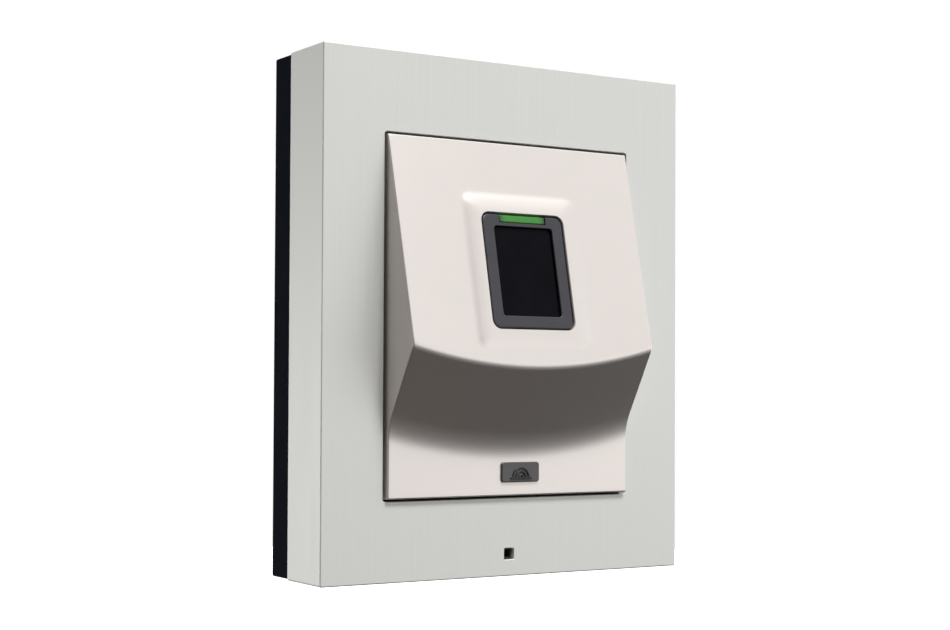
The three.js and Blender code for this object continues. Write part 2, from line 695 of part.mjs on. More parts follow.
// ---------------------------------------------------------------- reader module casing
function sensorBossPlaces() {
  return [
    [0, sensorScrewOffset],
    [0, -sensorScrewOffset],
  ];
}

function makeBezel() {
  const flangeShape = roundRect(flangeWidth, flangeHeight, 2, 0, OPENING_Z);
  const body = join(wedge(0, flangeBack, true), slab(flangeShape, flangeBack, flangeFront));
  const hollow = wedge(BEZEL_WALL, flangeBack - 1, false);
  const holeGap = 2 * TILT_GAP;
  const holeShape = roundRect(RING_WIDTH + holeGap, RING_LENGTH + holeGap, RING_RADIUS + TILT_GAP);
  const hole = tilted(sunk(holeShape, -4, RING_DEPTH + 2));
  const shell = cut(body, hollow, hole);
  const reach = wedge(1, chassisFloorFront - 1, false);
  const posts = fourCorners(postX, postZ, OPENING_Z).map(([x, z]) =>
    join(
      rod(POST_RADIUS, readerBoardFront + TILT_GAP, frameFront + 2, x, z),
      rod(POST_TIP_RADIUS, chassisFloorFront + REST_GAP, readerBoardFront + 1, x, z),
    ),
  );
  const bosses = sensorBossPlaces().map(([x, z]) =>
    tilted(rod(SENSOR_BOSS_RADIUS, -(sensorBoardFront - TILT_GAP), 0, x, z)),
  );
  const supports = [...posts, ...bosses].map((support) => common(support, reach));
  const postPilot = CHASSIS_SCREW.shank + PILOT_GAP;
  const postPilots = fourCorners(postX, postZ, OPENING_Z).map(([x, z]) =>
    rod(postPilot, chassisFloorFront - 1, chassisBack + CHASSIS_SCREW.length + 1, x, z, HOLE_SIDES),
  );
  const bossPilot = SENSOR_SCREW.shank + PILOT_GAP;
  const bossPilots = sensorBossPlaces().map(([x, z]) =>
    tilted(rod(bossPilot, -sensorBoardFront, -sensorBoardFront + 6, x, z, HOLE_SIDES)),
  );
  return cut(join(shell, ...supports), ...postPilots, ...bossPilots);
}

function makeBezelSeal() {
  const overlap = 2 * (FLANGE_OVERLAP - 0.4);
  const shape = roundRect(OPENING_WIDTH + overlap, OPENING_HEIGHT + overlap, 2, 0, OPENING_Z);
  shape.holes.push(roundRect(readerWidth + 0.4, readerHeight + 0.4, 0.25, 0, OPENING_Z));
  return slab(shape, flangeFront + REST_GAP, frameInside - REST_GAP);
}

const headerX = 0;
const headerZ = 22;
const headerWidth = 14;
const headerHeight = 4.6;

function makeChassis() {
  const outerShape = roundRect(chassisWidth, chassisHeight, 2, 0, OPENING_Z);
  const inWidth = chassisWidth - 2 * CHASSIS_WALL;
  const inHeight = chassisHeight - 2 * CHASSIS_WALL;
  const insideShape = roundRect(inWidth, inHeight, 1.2, 0, OPENING_Z);
  const shell = cut(
    slab(outerShape, chassisBack, chassisFront),
    slab(insideShape, chassisFloorFront, chassisFront + 1),
  );
  const earX = chassisWidth / 2 + EAR_REACH / 2 - 0.5;
  const ears = fourCorners(earX, EAR_SCREW_Z).map(([x, z]) =>
    slab(roundRect(EAR_REACH + 1, 10, 2, x, z), earBack, chassisFront),
  );
  const standoffs = fourCorners(STANDOFF_X, STANDOFF_Z).map(([x, z]) =>
    rod(2, chassisFloorFront - 0.5, readerBoardBack - REST_GAP, x, z),
  );
  const earHoles = fourCorners(earScrewX, EAR_SCREW_Z).map(([x, z]) =>
    rod(EAR_SCREW.shank + SHANK_GAP, earBack - 1, chassisFront + 1, x, z, HOLE_SIDES),
  );
  const postHoles = fourCorners(postX, postZ, OPENING_Z).map(([x, z]) =>
    rod(CHASSIS_SCREW.shank + SHANK_GAP, chassisBack - 1, chassisFloorFront + 0.5, x, z, HOLE_SIDES),
  );
  const solid = join(shell, ...ears, ...standoffs);
  const inEars = block(inWidth, inHeight, readerBoardBack, chassisFront + 1, 0, OPENING_Z);
  const window = block(
    headerWidth + 1.6,
    headerHeight + 1.6,
    chassisBack - 1,
    chassisFloorFront + 1,
    headerX,
    headerZ,
  );
  return cut(solid, inEars, ...earHoles, ...postHoles, window);
}

// A screw driven from behind, its head towards the wall.
function makeChassisScrew(x, z) {
  const { head: wide, shank: narrow, height, length } = CHASSIS_SCREW;
  const headNear = chassisBack - REST_GAP - height;
  const head = rod(wide, headNear, chassisBack - REST_GAP, x, z);
  const shank = rod(narrow, chassisBack - 0.5, chassisBack + length, x, z, HOLE_SIDES);
  const socket = rod(wide * 0.45, headNear - 1, headNear + height * 0.6, x, z, 6);
  return cut(join(head, shank), socket);
}

// ---------------------------------------------------------------- sensor pieces, in the tilted frame
const lightTop = RING_LENGTH / 2 - LIGHT_BELOW_RING_TOP;
const lightZ = lightTop - LIGHT_HEIGHT / 2;
const lightBack = sensorBoardFront - 2.2;

function makeRing() {
  const outer = sunk(roundRect(RING_WIDTH, RING_LENGTH, RING_RADIUS), 0, RING_DEPTH);
  const flange = sunk(
    roundRect(RING_WIDTH + 2 * RING_FLANGE_REACH, ringFlangeLength, RING_RADIUS + 1),
    ringFlangeFront,
    RING_DEPTH,
  );
  const window = sunk(roundRect(windowWidth, windowLength, WINDOW_RADIUS), -1, RING_DEPTH + 1);
  const seatWidth = windowWidth + 2 * WINDOW_SEAT;
  const seatLength = windowLength + 2 * WINDOW_SEAT;
  const seat = sunk(roundRect(seatWidth, seatLength, 1.2), RING_LIP, RING_DEPTH + 1);
  const slotBottom = lightZ - LIGHT_HEIGHT / 2 - 0.2;
  const slotTop = RING_LENGTH / 2 + 3;
  const slot = sunk(
    roundRect(LIGHT_WIDTH + 0.4, slotTop - slotBottom, 0.2, 0, (slotTop + slotBottom) / 2),
    -1,
    RING_DEPTH + 1,
  );
  return cut(join(outer, flange), window, seat, slot);
}

function makeGlass() {
  const reach = 2 * (WINDOW_SEAT - TILT_GAP);
  const shape = roundRect(windowWidth + reach, windowLength + reach, 1);
  return sunk(shape, glassFront, glassBack);
}

function makeLightGuide() {
  return sunk(roundRect(LIGHT_WIDTH, LIGHT_HEIGHT, 0.3, 0, lightZ), 0.08, lightBack);
}

// Optical block: its rear corner is cut off at a slant to turn the picture towards the camera.
function makePrism() {
  const half = prismLength / 2;
  const shape = new THREE.Shape();
  shape.moveTo(prismFront, -half);
  shape.lineTo(prismBack, -half);
  shape.lineTo(prismBack, half - PRISM_SLANT);
  shape.lineTo(prismFront + PRISM_FRONT_DEPTH, half);
  shape.lineTo(prismFront, half);
  shape.closePath();
  return bar(shape, prismWidth, 0);
}

function makeHolder() {
  const innerWidth = prismWidth + 2 * TILT_GAP;
  const innerLength = prismLength + 2 * TILT_GAP;
  const outer = roundRect(innerWidth + 2 * HOLDER_WALL, innerLength + 2 * HOLDER_WALL, 1.5);
  const inner = roundRect(innerWidth, innerLength, 0.4);
  return cut(sunk(outer, holderFront, holderBack), sunk(inner, 0, holderBack + 1));
}

function makeSensorBoard() {
  const board = sunk(
    roundRect(SENSOR_BOARD_WIDTH, sensorBoardLength, 1),
    sensorBoardFront,
    sensorBoardBack,
  );
  const holes = sensorBossPlaces().map(([x, z]) =>
    rod(SENSOR_SCREW.shank + SHANK_GAP, -sensorBoardBack - 1, -sensorBoardFront + 1, x, z, HOLE_SIDES),
  );
  return cut(board, ...holes);
}

function makeSensorScrew(x, z) {
  const { head: wide, shank: narrow, height, length } = SENSOR_SCREW;
  const headTop = -(sensorBoardBack + TILT_GAP);
  const head = rod(wide, headTop - height, headTop, x, z);
  const shank = rod(narrow, headTop - 0.2, headTop + length, x, z, HOLE_SIDES);
  const socket = rod(wide * 0.45, headTop - height - 1, headTop - height / 2, x, z, 6);
  return cut(join(head, shank), socket);
}

function makeImageSensor() {
  const shallow = prismBack + TILT_GAP;
  return sunk(roundRect(7, 6, 0.3, 0, -5), shallow, sensorBoardFront - TILT_GAP);
}

function makeStatusLed(x) {
  return sunk(
    roundRect(3.2, 1.6, 0.2, x, lightZ),
    lightBack + TILT_GAP,
    sensorBoardFront - TILT_GAP,
  );
}

// ---------------------------------------------------------------- badge
const badgeBack = frameFront + LOWER_FACE_RISE + REST_GAP;
const badgeFront = badgeBack + BADGE_THICKNESS;

function makeBadge() {
  return slab(roundRect(BADGE_WIDTH, BADGE_HEIGHT, 0.8, BADGE_X, BADGE_Z), badgeBack, badgeFront);
}

// Nested arches standing on a bar, a plain finger-like motif.
function makeEmblem() {
  const near = badgeFront + REST_GAP;
  const far = near + EMBLEM_THICKNESS;
  const foot = BADGE_Z - 1.4;
  const arches = [2.6, 1.7, 0.8].map((radius) => {
    const shape = new THREE.Shape();
    shape.moveTo(BADGE_X + radius, foot);
    shape.absarc(BADGE_X, foot + 0.1, radius, 0, Math.PI);
    shape.lineTo(BADGE_X - radius, foot);
    shape.lineTo(BADGE_X - radius + 0.45, foot);
    shape.absarc(BADGE_X, foot + 0.1, radius - 0.45, Math.PI, 0, true);
    shape.lineTo(BADGE_X + radius - 0.45, foot);
    shape.closePath();
    return slab(shape, near, far);
  });
  const base = block(6.4, 0.5, near, far, BADGE_X, foot - 0.1);
  return join(base, ...arches);
}

// ---------------------------------------------------------------- electronics
function makeMainBoard() {
  const width = trayWidth - 4;
  const middle = (boardTop + boardBottom) / 2;
  const main = slab(roundRect(width, boardTop - boardBottom, 2, 0, middle), boardBack, boardFront);
  const tongueBottom = portZ - 0.9;
  const tongue = block(
    18,
    boardBottom + 4 - tongueBottom,
    boardBack,
    boardFront,
    0,
    (boardBottom + 4 + tongueBottom) / 2,
  );
  const through = (radius, places) =>
    places.map(([x, z]) => rod(radius, boardBack - 1, boardFront + 1, x, z));
  const cableHole = slab(
    roundRect(CABLE_WIDTH + 4, CABLE_HEIGHT + 4, 3, 0, CABLE_Z),
    boardBack - 1,
    boardFront + 1,
  );
  return cut(
    join(main, tongue),
    cableHole,
    ...through(PILLAR_RADIUS + 0.5, fourCorners(earScrewX, EAR_SCREW_Z)),
    ...through(SLOT_ACCESS_RADIUS, fourCorners(SLOT_X, SLOT_Z)),
    ...through(BOARD_SCREW.shank + SHANK_GAP, boardScrewPlaces()),
  );
}

function makeReaderBoard() {
  const shape = roundRect(READER_BOARD_WIDTH, READER_BOARD_HEIGHT, 2, 0, OPENING_Z);
  const board = slab(shape, readerBoardBack, readerBoardFront);
  const holes = fourCorners(postX, postZ, OPENING_Z).map(([x, z]) =>
    rod(POST_TIP_RADIUS + TILT_GAP, readerBoardBack - 1, readerBoardFront + 1, x, z),
  );
  return cut(board, ...holes);
}

function chip(width, height, thickness, x, z, seat = boardFront) {
  return slab(roundRect(width, height, 0.2, x, z), seat + REST_GAP, seat + REST_GAP + thickness);
}

// A screw terminal: wire openings in its upper side and a screw well over each.
function makeTerminal(poles, pitch, middleX) {
  const width = poles * pitch + 1;
  const depth = 6.4;
  const tall = 10;
  const top = topStripZ + depth / 2;
  const bottom = topStripZ - depth / 2;
  const front = partsBack + tall;
  const shape = new THREE.Shape();
  shape.moveTo(-partsBack, bottom);
  shape.lineTo(-front, bottom);
  shape.lineTo(-front, top - 1.6);
  shape.lineTo(-front + 2, top);
  shape.lineTo(-partsBack, top);
  shape.closePath();
  const tools = [];
  for (let i = 0; i < poles; i++) {
    const x = middleX + (i - (poles - 1) / 2) * pitch;
    tools.push(block(pitch * 0.6, 4, partsBack + 2, partsBack + 5, x, top));
    tools.push(rod(pitch * 0.3, front - 1.5, front + 1, x, topStripZ - 0.8, HOLE_SIDES));
  }
  return cut(bar(shape, width, middleX), ...tools);
}

function makeCapacitor(x) {
  const can = rod(2.7, partsBack, partsBack + 11, x, bottomStripZ);
  const groove = cut(
    rod(3.2, partsBack + 1.4, partsBack + 2, x, bottomStripZ),
    rod(2.45, partsBack, partsBack + 3, x, bottomStripZ),
  );
  return cut(can, groove);
}

function makeBusHeader() {
  return block(
    headerWidth,
    headerHeight,
    chassisBack + 0.1,
    readerBoardBack - REST_GAP,
    headerX,
    headerZ,
  );
}

function makeBusSocket() {
  return block(
    headerWidth + 1,
    headerHeight + 1.4,
    partsBack,
    chassisBack - REST_GAP - 0.1,
    headerX,
    headerZ,
  );
}

// Flat flexible lead in an S-curve from the sensor board's rear to the reader board.
function makeRibbon() {
  const start = new THREE.Vector3(0, -(-sensorBoardBack - TILT_GAP), -10);
  const group = sensorGroup();
  group.updateMatrix();
  start.applyMatrix4(group.matrix);
  const endY = -(readerBoardFront + 0.4);
  const curve = new THREE.CubicBezierCurve(
    new THREE.Vector2(start.y, start.z),
    new THREE.Vector2(start.y + 5, start.z - 1),
    new THREE.Vector2(endY, start.z - 4),
    new THREE.Vector2(endY, start.z - 13),
  );
  const halfThickness = 0.15;
  const steps = 14;
  const sideA = [];
  const sideB = [];
  for (let i = 0; i <= steps; i++) {
    const point = curve.getPoint(i / steps);
    const along = curve.getTangent(i / steps);
    const across = new THREE.Vector2(-along.y, along.x).multiplyScalar(halfThickness);
    sideA.push(point.clone().add(across));
    sideB.unshift(point.clone().sub(across));
  }
  return bar(new THREE.Shape([...sideA, ...sideB]), 8, 0);
}

// ---------------------------------------------------------------- switches
const tamperZ = 14;
const resetZ = -12;
const tamperBodyFront = partsBack + 6;
const resetBodyFront = partsBack + 3.6;

function makeTamperSwitch() {
  const body = slab(roundRect(6.4, 9, 0.5, -sideX, tamperZ), partsBack, tamperBodyFront);
  const bore = rod(1.2 + RUN_GAP, partsBack + 1, tamperBodyFront + 1, -sideX, tamperZ);
  return cut(body, bore);
}

function makeTamperPlunger() {
  const tail = partsBack + 1 + TAMPER_TRAVEL + 0.5;
  const stem = rod(1.2, tail, frameInside - 1, -sideX, tamperZ);
  const head = rod(2.1, frameInside - 2, frameInside - REST_GAP, -sideX, tamperZ);
  return join(stem, head);
}

function makeResetSwitch() {
  const body = slab(roundRect(6, 6, 0.4, -sideX, resetZ), partsBack, resetBodyFront);
  const bore = rod(1.7 + RUN_GAP, partsBack + 1, resetBodyFront + 1, -sideX, resetZ);
  return cut(body, bore);
}

function makeResetButton() {
  const tail = partsBack + 1 + RESET_TRAVEL + 0.2;
  return rod(1.7, tail, resetBodyFront + 1.8, -sideX, resetZ);
}

// ---------------------------------------------------------------- assembly
const terminal = new THREE.Group();
const sensor = sensorGroup();
terminal.add(sensor);

function place(name, geometry, finish, group = terminal) {
  const mesh = new THREE.Mesh(geometry, new THREE.MeshStandardMaterial(finishes[finish]));
  mesh.name = name;
  group.add(mesh);
}

place("wall_gasket", makeGasket(), "rubber");
place("back_plate", makeBackPlate(), "darkPlastic");
place("cable_grommet", makeGrommet(), "rubber");
place("frame_seal", makeFrameSeal(), "rubber");
place("front_frame", makeFrame(), "metal");
place("port_sleeve", makePortSleeve(), "rubber");
[-FRAME_SCREW_X, FRAME_SCREW_X].forEach((x, i) => {
  place(`frame_screw_${i + 1}`, makeFrameScrew(x), "steel");
});

place("reader_bezel", makeBezel(), "shell");
place("bezel_seal", makeBezelSeal(), "rubber");
place("reader_chassis", makeChassis(), "darkPlastic");
fourCorners(postX, postZ, OPENING_Z).forEach(([x, z], i) => {
  place(`chassis_screw_${i + 1}`, makeChassisScrew(x, z), "steel");
});
fourCorners(earScrewX, EAR_SCREW_Z).forEach(([x, z], i) => {
  place(`module_screw_${i + 1}`, panScrew(EAR_SCREW, chassisFront, x, z), "steel");
});

place("sensor_ring", makeRing(), "slate", sensor);
place("sensor_glass", makeGlass(), "glass", sensor);
place("light_guide", makeLightGuide(), "green", sensor);
place("sensor_prism", makePrism(), "glass", sensor);
place("sensor_holder", makeHolder(), "darkPlastic", sensor);
place("sensor_board", makeSensorBoard(), "board", sensor);
place("image_sensor", makeImageSensor(), "chip", sensor);
[-4, 4].forEach((x, i) => {
  place(`status_led_${i + 1}`, makeStatusLed(x), "whitePlastic", sensor);
});
sensorBossPlaces().forEach(([x, z], i) => {
  place(`sensor_screw_${i + 1}`, makeSensorScrew(x, z), "steel", sensor);
});
place("sensor_ribbon", makeRibbon(), "ribbon");

place("badge", makeBadge(), "badgeGrey");
place("badge_emblem", makeEmblem(), "badgeDark");

place("reader_board", makeReaderBoard(), "board");
place("reader_processor", chip(12, 12, 1.2, 14, -24, readerBoardFront), "chip");
place("bus_header", makeBusHeader(), "chip");
place("bus_socket", makeBusSocket(), "whitePlastic");

place("main_board", makeMainBoard(), "board");
boardScrewPlaces().forEach(([x, z], i) => {
  place(`board_screw_${i + 1}`, panScrew(BOARD_SCREW, boardFront, x, z), "steel");
});
place("processor", chip(14, 14, 1.2, -18, 8), "chip");
place("flash_memory", chip(8, 6, 1, -18, -10), "chip");
place("network_chip", chip(7, 7, 1, 18, 6), "chip");
place("light_sensor", chip(1.8, 1.8, 0.8, 0, portZ), "chip");
place("network_terminal", makeTerminal(8, 3.5, -16.5), "terminalGreen");
place("power_terminal", makeTerminal(2, 5, 6), "terminalGreen");
place("relay_terminal", makeTerminal(3, 5, 22.5), "terminalGreen");
place("relay", chip(5.2, 20, 12.5, sideX, 0), "whitePlastic");
place("power_inductor", chip(7, 7, 3.5, sideX, 19), "chip");
[-26, -18].forEach((x, i) => {
  place(`capacitor_${i + 1}`, makeCapacitor(x), "steel");
});
place("buzzer", rod(3.6, partsBack, partsBack + 4, sideX, -20), "chip");
place("tamper_switch", makeTamperSwitch(), "chip");
place("tamper_plunger", makeTamperPlunger(), "whitePlastic");
place("reset_switch", makeResetSwitch(), "chip");
place("reset_button", makeResetButton(), "whitePlastic");

export default terminal;
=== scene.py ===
"""Looks for a wall-mounted fingerprint terminal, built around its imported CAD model.

Shapes are worked out in millimetres and turned into metres when a mesh is made. "Distance" is the
distance in front of the wall, which is -y, as in the CAD source. Its named sizes are repeated here.
"""

import json
import math

import bmesh
import bpy
from mathutils import Matrix, Vector

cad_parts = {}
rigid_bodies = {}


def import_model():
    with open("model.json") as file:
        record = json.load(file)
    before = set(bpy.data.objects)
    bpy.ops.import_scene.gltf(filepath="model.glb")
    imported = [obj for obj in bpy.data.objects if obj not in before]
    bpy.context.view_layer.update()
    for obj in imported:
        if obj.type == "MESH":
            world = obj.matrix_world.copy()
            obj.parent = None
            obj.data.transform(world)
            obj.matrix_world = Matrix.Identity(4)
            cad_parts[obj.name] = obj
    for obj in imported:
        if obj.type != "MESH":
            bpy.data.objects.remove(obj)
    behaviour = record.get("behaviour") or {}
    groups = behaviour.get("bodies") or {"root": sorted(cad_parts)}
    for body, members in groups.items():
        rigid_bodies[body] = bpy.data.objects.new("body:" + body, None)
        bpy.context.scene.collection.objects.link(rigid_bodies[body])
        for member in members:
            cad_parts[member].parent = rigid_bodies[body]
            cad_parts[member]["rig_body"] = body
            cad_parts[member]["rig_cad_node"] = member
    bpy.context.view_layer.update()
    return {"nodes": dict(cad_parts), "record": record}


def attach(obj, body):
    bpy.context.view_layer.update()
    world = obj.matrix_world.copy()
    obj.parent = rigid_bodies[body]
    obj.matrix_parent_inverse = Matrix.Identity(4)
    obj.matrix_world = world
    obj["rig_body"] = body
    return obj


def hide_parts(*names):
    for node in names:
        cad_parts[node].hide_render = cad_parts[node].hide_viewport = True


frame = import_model()
MM = 0.001
PAST = 1  # how far a cutting tool goes past what it cuts

# ---------------------------------------------------------------- sizes, as in the CAD source
WIDTH = 107
HEIGHT = 130
PLATE_BACK = 1.5
PLATE_FRONT = 10.5
FRAME_FRONT = 28
FRAME_WALL = 2.5
FRAME_INSIDE = FRAME_FRONT - FRAME_WALL
FRAME_CORNER_RADIUS = 0.6
OPENING_WIDTH = 73.3
OPENING_HEIGHT = 90.2
OPENING_Z = -0.2
OPENING_RADIUS = 0.8
OPENING_GAP = 0.65
READER_WIDTH = OPENING_WIDTH - 2 * OPENING_GAP
READER_HEIGHT = OPENING_HEIGHT - 2 * OPENING_GAP
READER_TOP = OPENING_Z + READER_HEIGHT / 2
READER_BOTTOM = OPENING_Z - READER_HEIGHT / 2
FLANGE_FRONT = 24.5
FLANGE_BACK = 23
FLANGE_OVERLAP = 2.4
BEZEL_WALL = 2.2
BEZEL_EDGE = 0.4
LEAST_EDGE = 0.2
LEAST_RIDGE = 0.3
FACE_TOP_RISE = 0.45
RIDGE_RISE = 12.9
LOWER_FACE_RISE = 1.2
RIDGE_Z = READER_TOP - 51.5
UNDERSIDE_DROP = 19.9
CHIN_SAG = 4.95
SIDE_DRAFT = 0.03
RIDGE_RADIUS = 3.2
COVE_RADIUS = 15
SENSOR_TILT = 0.212
SENSOR_Z = 11.6
SENSOR_DISTANCE = FRAME_FRONT + 8.2
RING_WIDTH = 23.9
RING_LENGTH = 29.2
RING_RADIUS = 2
RING_DEPTH = 5
RING_LIP = 0.5
WINDOW_WIDTH = 17.4
WINDOW_LENGTH = 23
LIGHT_WIDTH = 13.6
LIGHT_HEIGHT = 1.8
LIGHT_Z = RING_LENGTH / 2 - 0.15 - LIGHT_HEIGHT / 2
BOSS_FOOT = 5
BOSS_SOFT_FOOT = 0.22
BOSS_CROWN = 1.8
BOSS_CORNER = 5
BOSS_MARGIN = 0.35
BOSS_RISE_TOP = 0.8
BOSS_RISE_BOTTOM = 0.65
PORT_SIZE = 2.9
PORT_Z = -HEIGHT / 2 + 5.6
BADGE_X = 2.3
BADGE_Z = -38.75
FRAME_SCREW_X = 34
FRAME_SCREW_DISTANCE = 18
SCREW_HEAD_RADIUS = 3
SCREW_HEAD_HEIGHT = 1.4
SCREW_SHANK_RADIUS = 1.4
SEAL_GAP = 0.05
CABLE_Z = -30
CABLE_WIDTH = 22
CABLE_HEIGHT = 14
CABLE_RADIUS = 3
SLOT_WIDTH = 3.8
SLOT_LENGTH = 9
SLOT_X = 30
SLOT_Z = 40


# ---------------------------------------------------------------- mesh helpers, in millimetres
def new_object(name, vertices, faces, matrix=None):
    """A closed mesh object in metres from points in millimetres."""
    shape = bmesh.new()
    for point in vertices:
        place = matrix @ Vector(point) if matrix else Vector(point)
        shape.verts.new(place * MM)
    shape.verts.ensure_lookup_table()
    for face in faces:
        shape.faces.new([shape.verts[i] for i in face])
    bmesh.ops.remove_doubles(shape, verts=shape.verts, dist=1e-7)
    bmesh.ops.recalc_face_normals(shape, faces=shape.faces)
    mesh = bpy.data.meshes.new(name)
    shape.to_mesh(mesh)
    shape.free()
    obj = bpy.data.objects.new(name, mesh)
    bpy.context.scene.collection.objects.link(obj)
    return obj


def combine(obj, tool, operation):
    """Applies a boolean and removes the tool."""
    modifier = obj.modifiers.new("combine", "BOOLEAN")
    modifier.operation = operation
    modifier.object = tool
    modifier.solver = "EXACT"
    graph = bpy.context.evaluated_depsgraph_get()
    made = bpy.data.meshes.new_from_object(obj.evaluated_get(graph))
    obj.modifiers.clear()
    obj.data = made
    bpy.data.objects.remove(tool)
    return obj


def cut(obj, *tools):
    for tool in tools:
        combine(obj, tool, "DIFFERENCE")
    return obj


def join(obj, *others):
    for other in others:
        combine(obj, other, "UNION")
    return obj


def skin(loops, closed):
    """Vertices and faces over equal loops: the ends are joined to each other, or capped."""
    count = len(loops[0])
    vertices = [point for loop in loops for point in loop]
    faces = []
    pairs = len(loops) if closed else len(loops) - 1
    for i in range(pairs):
        a = i * count
        b = (i + 1) % len(loops) * count
        for j in range(count):
            k = (j + 1) % count
            faces.append((a + j, a + k, b + k, b + j))
    if not closed:
        last = (len(loops) - 1) * count
        faces.append(tuple(range(count)))
        faces.append(tuple(range(last, last + count)))
    return vertices, faces


def round_loop(width, height, radius, distance, x=0.0, z=0.0, steps=6):
    """A rectangle with round corners, standing at one distance from the wall."""
    points = []
    for corner, (sx, sz) in enumerate([(1, 1), (-1, 1), (-1, -1), (1, -1)]):
        for i in range(steps + 1):
            angle = (corner + i / steps) * math.pi / 2
            points.append((
                x + sx * (width / 2 - radius) + radius * math.cos(angle),
                -distance,
                z + sz * (height / 2 - radius) + radius * math.sin(angle),
            ))
    return points


def stack(name, stations, x=0.0, z=0.0, closed=False, steps=6, matrix=None):
    """A skin over (width, height, radius, distance) stations."""
    loops = [round_loop(*station, x, z, steps) for station in stations]
    return new_object(name, *skin(loops, closed), matrix)


def eased(width, height, radius, distance, edge, steps=4):
    """Stations of a rounded outer edge, from the side to the front that lies at distance."""
    rows = []
    for i in range(steps + 1):
        angle = math.pi / 2 * i / steps
        inset = edge * (1 - math.cos(angle))
        rows.append((
            width - 2 * inset,
            height - 2 * inset,
            max(radius - inset, 0.05),
            distance - edge * (1 - math.sin(angle)),
        ))
    return rows


def eased_hole(width, height, radius, distance, edge, steps=4):
    """Stations of a rounded hole edge, from the front at distance into the hole."""
    rows = []
    for i in range(steps + 1):
        angle = math.pi / 2 * i / steps
        out = edge * (1 - math.sin(angle))
        rows.append((
            width + 2 * out,
            height + 2 * out,
            radius + out,
            distance - edge * (1 - math.cos(angle)),
        ))
    return rows


def turned(name, profile, x, distance, sides=40):
    """A round solid standing along Z, from (radius, z) pairs."""
    loops = []
    for radius, z in profile:
        ring = []
        for i in range(sides):
            angle = 2 * math.pi * i / sides
            ring.append((x + radius * math.cos(angle), -distance + radius * math.sin(angle), z))
        loops.append(ring)
    return new_object(name, *skin(loops, False))


def rod(name, radius, near, far, x, z, matrix=None, sides=24):
    """A round solid standing out from the wall between two distances."""
    loops = []
    for distance in (near, far):
        ring = []
        for i in range(sides):
            angle = 2 * math.pi * i / sides
            ring.append((x + radius * math.cos(angle), -distance, z + radius * math.sin(angle)))
        loops.append(ring)
    return new_object(name, *skin(loops, False), matrix)


# ---------------------------------------------------------------- the reader's wedge
def outline_corners(x, inset, back):
    """Corner points of the reader's front outline at one x, as (z, distance)."""
    drop = CHIN_SAG * (1 - (x / (READER_WIDTH / 2)) ** 2)
    points = [
        Vector((READER_TOP, back)),
        Vector((READER_TOP, FRAME_FRONT + FACE_TOP_RISE)),
        Vector((RIDGE_Z - drop, FRAME_FRONT + RIDGE_RISE)),
        Vector((RIDGE_Z - drop - UNDERSIDE_DROP, FRAME_FRONT + LOWER_FACE_RISE)),
        Vector((READER_BOTTOM, FRAME_FRONT + LOWER_FACE_RISE)),
        Vector((READER_BOTTOM, back)),
    ]
    sides = []
    for start, end in zip(points, points[1:]):
        along = (end - start).normalized()
        inward = Vector((-along.y, along.x))
        sides.append((start + inward * inset, along))
    corners = [Vector((READER_TOP - inset, back))]
    for first, second in zip(sides, sides[1:]):
        corners.append(meet(first, second))
    corners.append(Vector((READER_BOTTOM + inset, back)))
    return corners


def cross(a, b):
    """Z of the cross product of two flat vectors."""
    return a.x * b.y - a.y * b.x


def meet(first, second):
    """Point where two lines cross, each given by a point on it and its direction."""
    between = second[0] - first[0]
    share = cross(between, second[1]) / cross(first[1], second[1])
    return first[0] + first[1] * share


def rounded_corner(a, b, c, radius, steps):
    """Arc of a radius that takes the place of corner b between a and c."""
    into = (b - a).normalized()
    out = (c - b).normalized()
    turn = math.acos(max(-1.0, min(1.0, into.dot(out))))
    start = b - into * radius * math.tan(turn / 2)
    side = math.copysign(1, cross(into, out))
    centre = start + Vector((-into.y, into.x)) * side * radius
    points = []
    for i in range(steps + 1):
        points.append(centre + Matrix.Rotation(side * turn * i / steps, 2) @ (start - centre))
    return points


def outline(x, inset, back, face_steps, arc_steps):
    """Points of the reader's front outline at one x, with an arc at each corner."""
    c = outline_corners(x, inset, back)
    edge = max(BEZEL_EDGE - inset, LEAST_EDGE)
    ridge = max(RIDGE_RADIUS - inset, LEAST_RIDGE)
    top = rounded_corner(c[0], c[1], c[2], edge, arc_steps // 2)
    nose = rounded_corner(c[1], c[2], c[3], ridge, arc_steps)
    cove = rounded_corner(c[2], c[3], c[4], COVE_RADIUS + inset, arc_steps)
    foot = rounded_corner(c[3], c[4], c[5], edge, arc_steps // 2)
    points = [c[0], *top]
    for arc, steps in ((nose, face_steps), (cove, face_steps // 5), (foot, face_steps // 8)):
        start = points[-1]
        points += [start.lerp(arc[0], i / steps) for i in range(1, steps)]
        points += arc
    points.append(c[5])
    return points


def boss_rise(x, z):
    """Rise of the crowned boss that the sensor sits on, over the sloping face."""
    out_x = max(abs(x) - RING_WIDTH / 2 - BOSS_MARGIN, 0)
    out_z = max(abs(z - SENSOR_Z) - RING_LENGTH / 2 * math.cos(SENSOR_TILT) - BOSS_MARGIN, 0)
    beyond = (out_x**BOSS_CORNER + out_z**BOSS_CORNER) ** (1 / BOSS_CORNER)
    inside = max(0.0, 1 - beyond / BOSS_FOOT)
    crown = 1 - (1 - inside) ** BOSS_CROWN
    foot = min(1.0, inside / BOSS_SOFT_FOOT)
    share = crown * foot * foot * (3 - 2 * foot)
    up = max(0.0, min(1.0, (z - SENSOR_Z) / RING_LENGTH + 0.5))
    return share * (BOSS_RISE_BOTTOM + (BOSS_RISE_TOP - BOSS_RISE_BOTTOM) * up)


def stations_across(half, edge, spacing, edge_steps):
    """Places across the wedge from left to right, close together at its rounded edges."""
    flat = half - edge
    count = max(2, round(flat / spacing))
    right = [flat * i / count for i in range(1, count)]
    right += [half - edge * (1 - math.sin(i * math.pi / 2 / edge_steps)) for i in range(edge_steps + 1)]
    return [-x for x in reversed(right)] + [0.0] + right


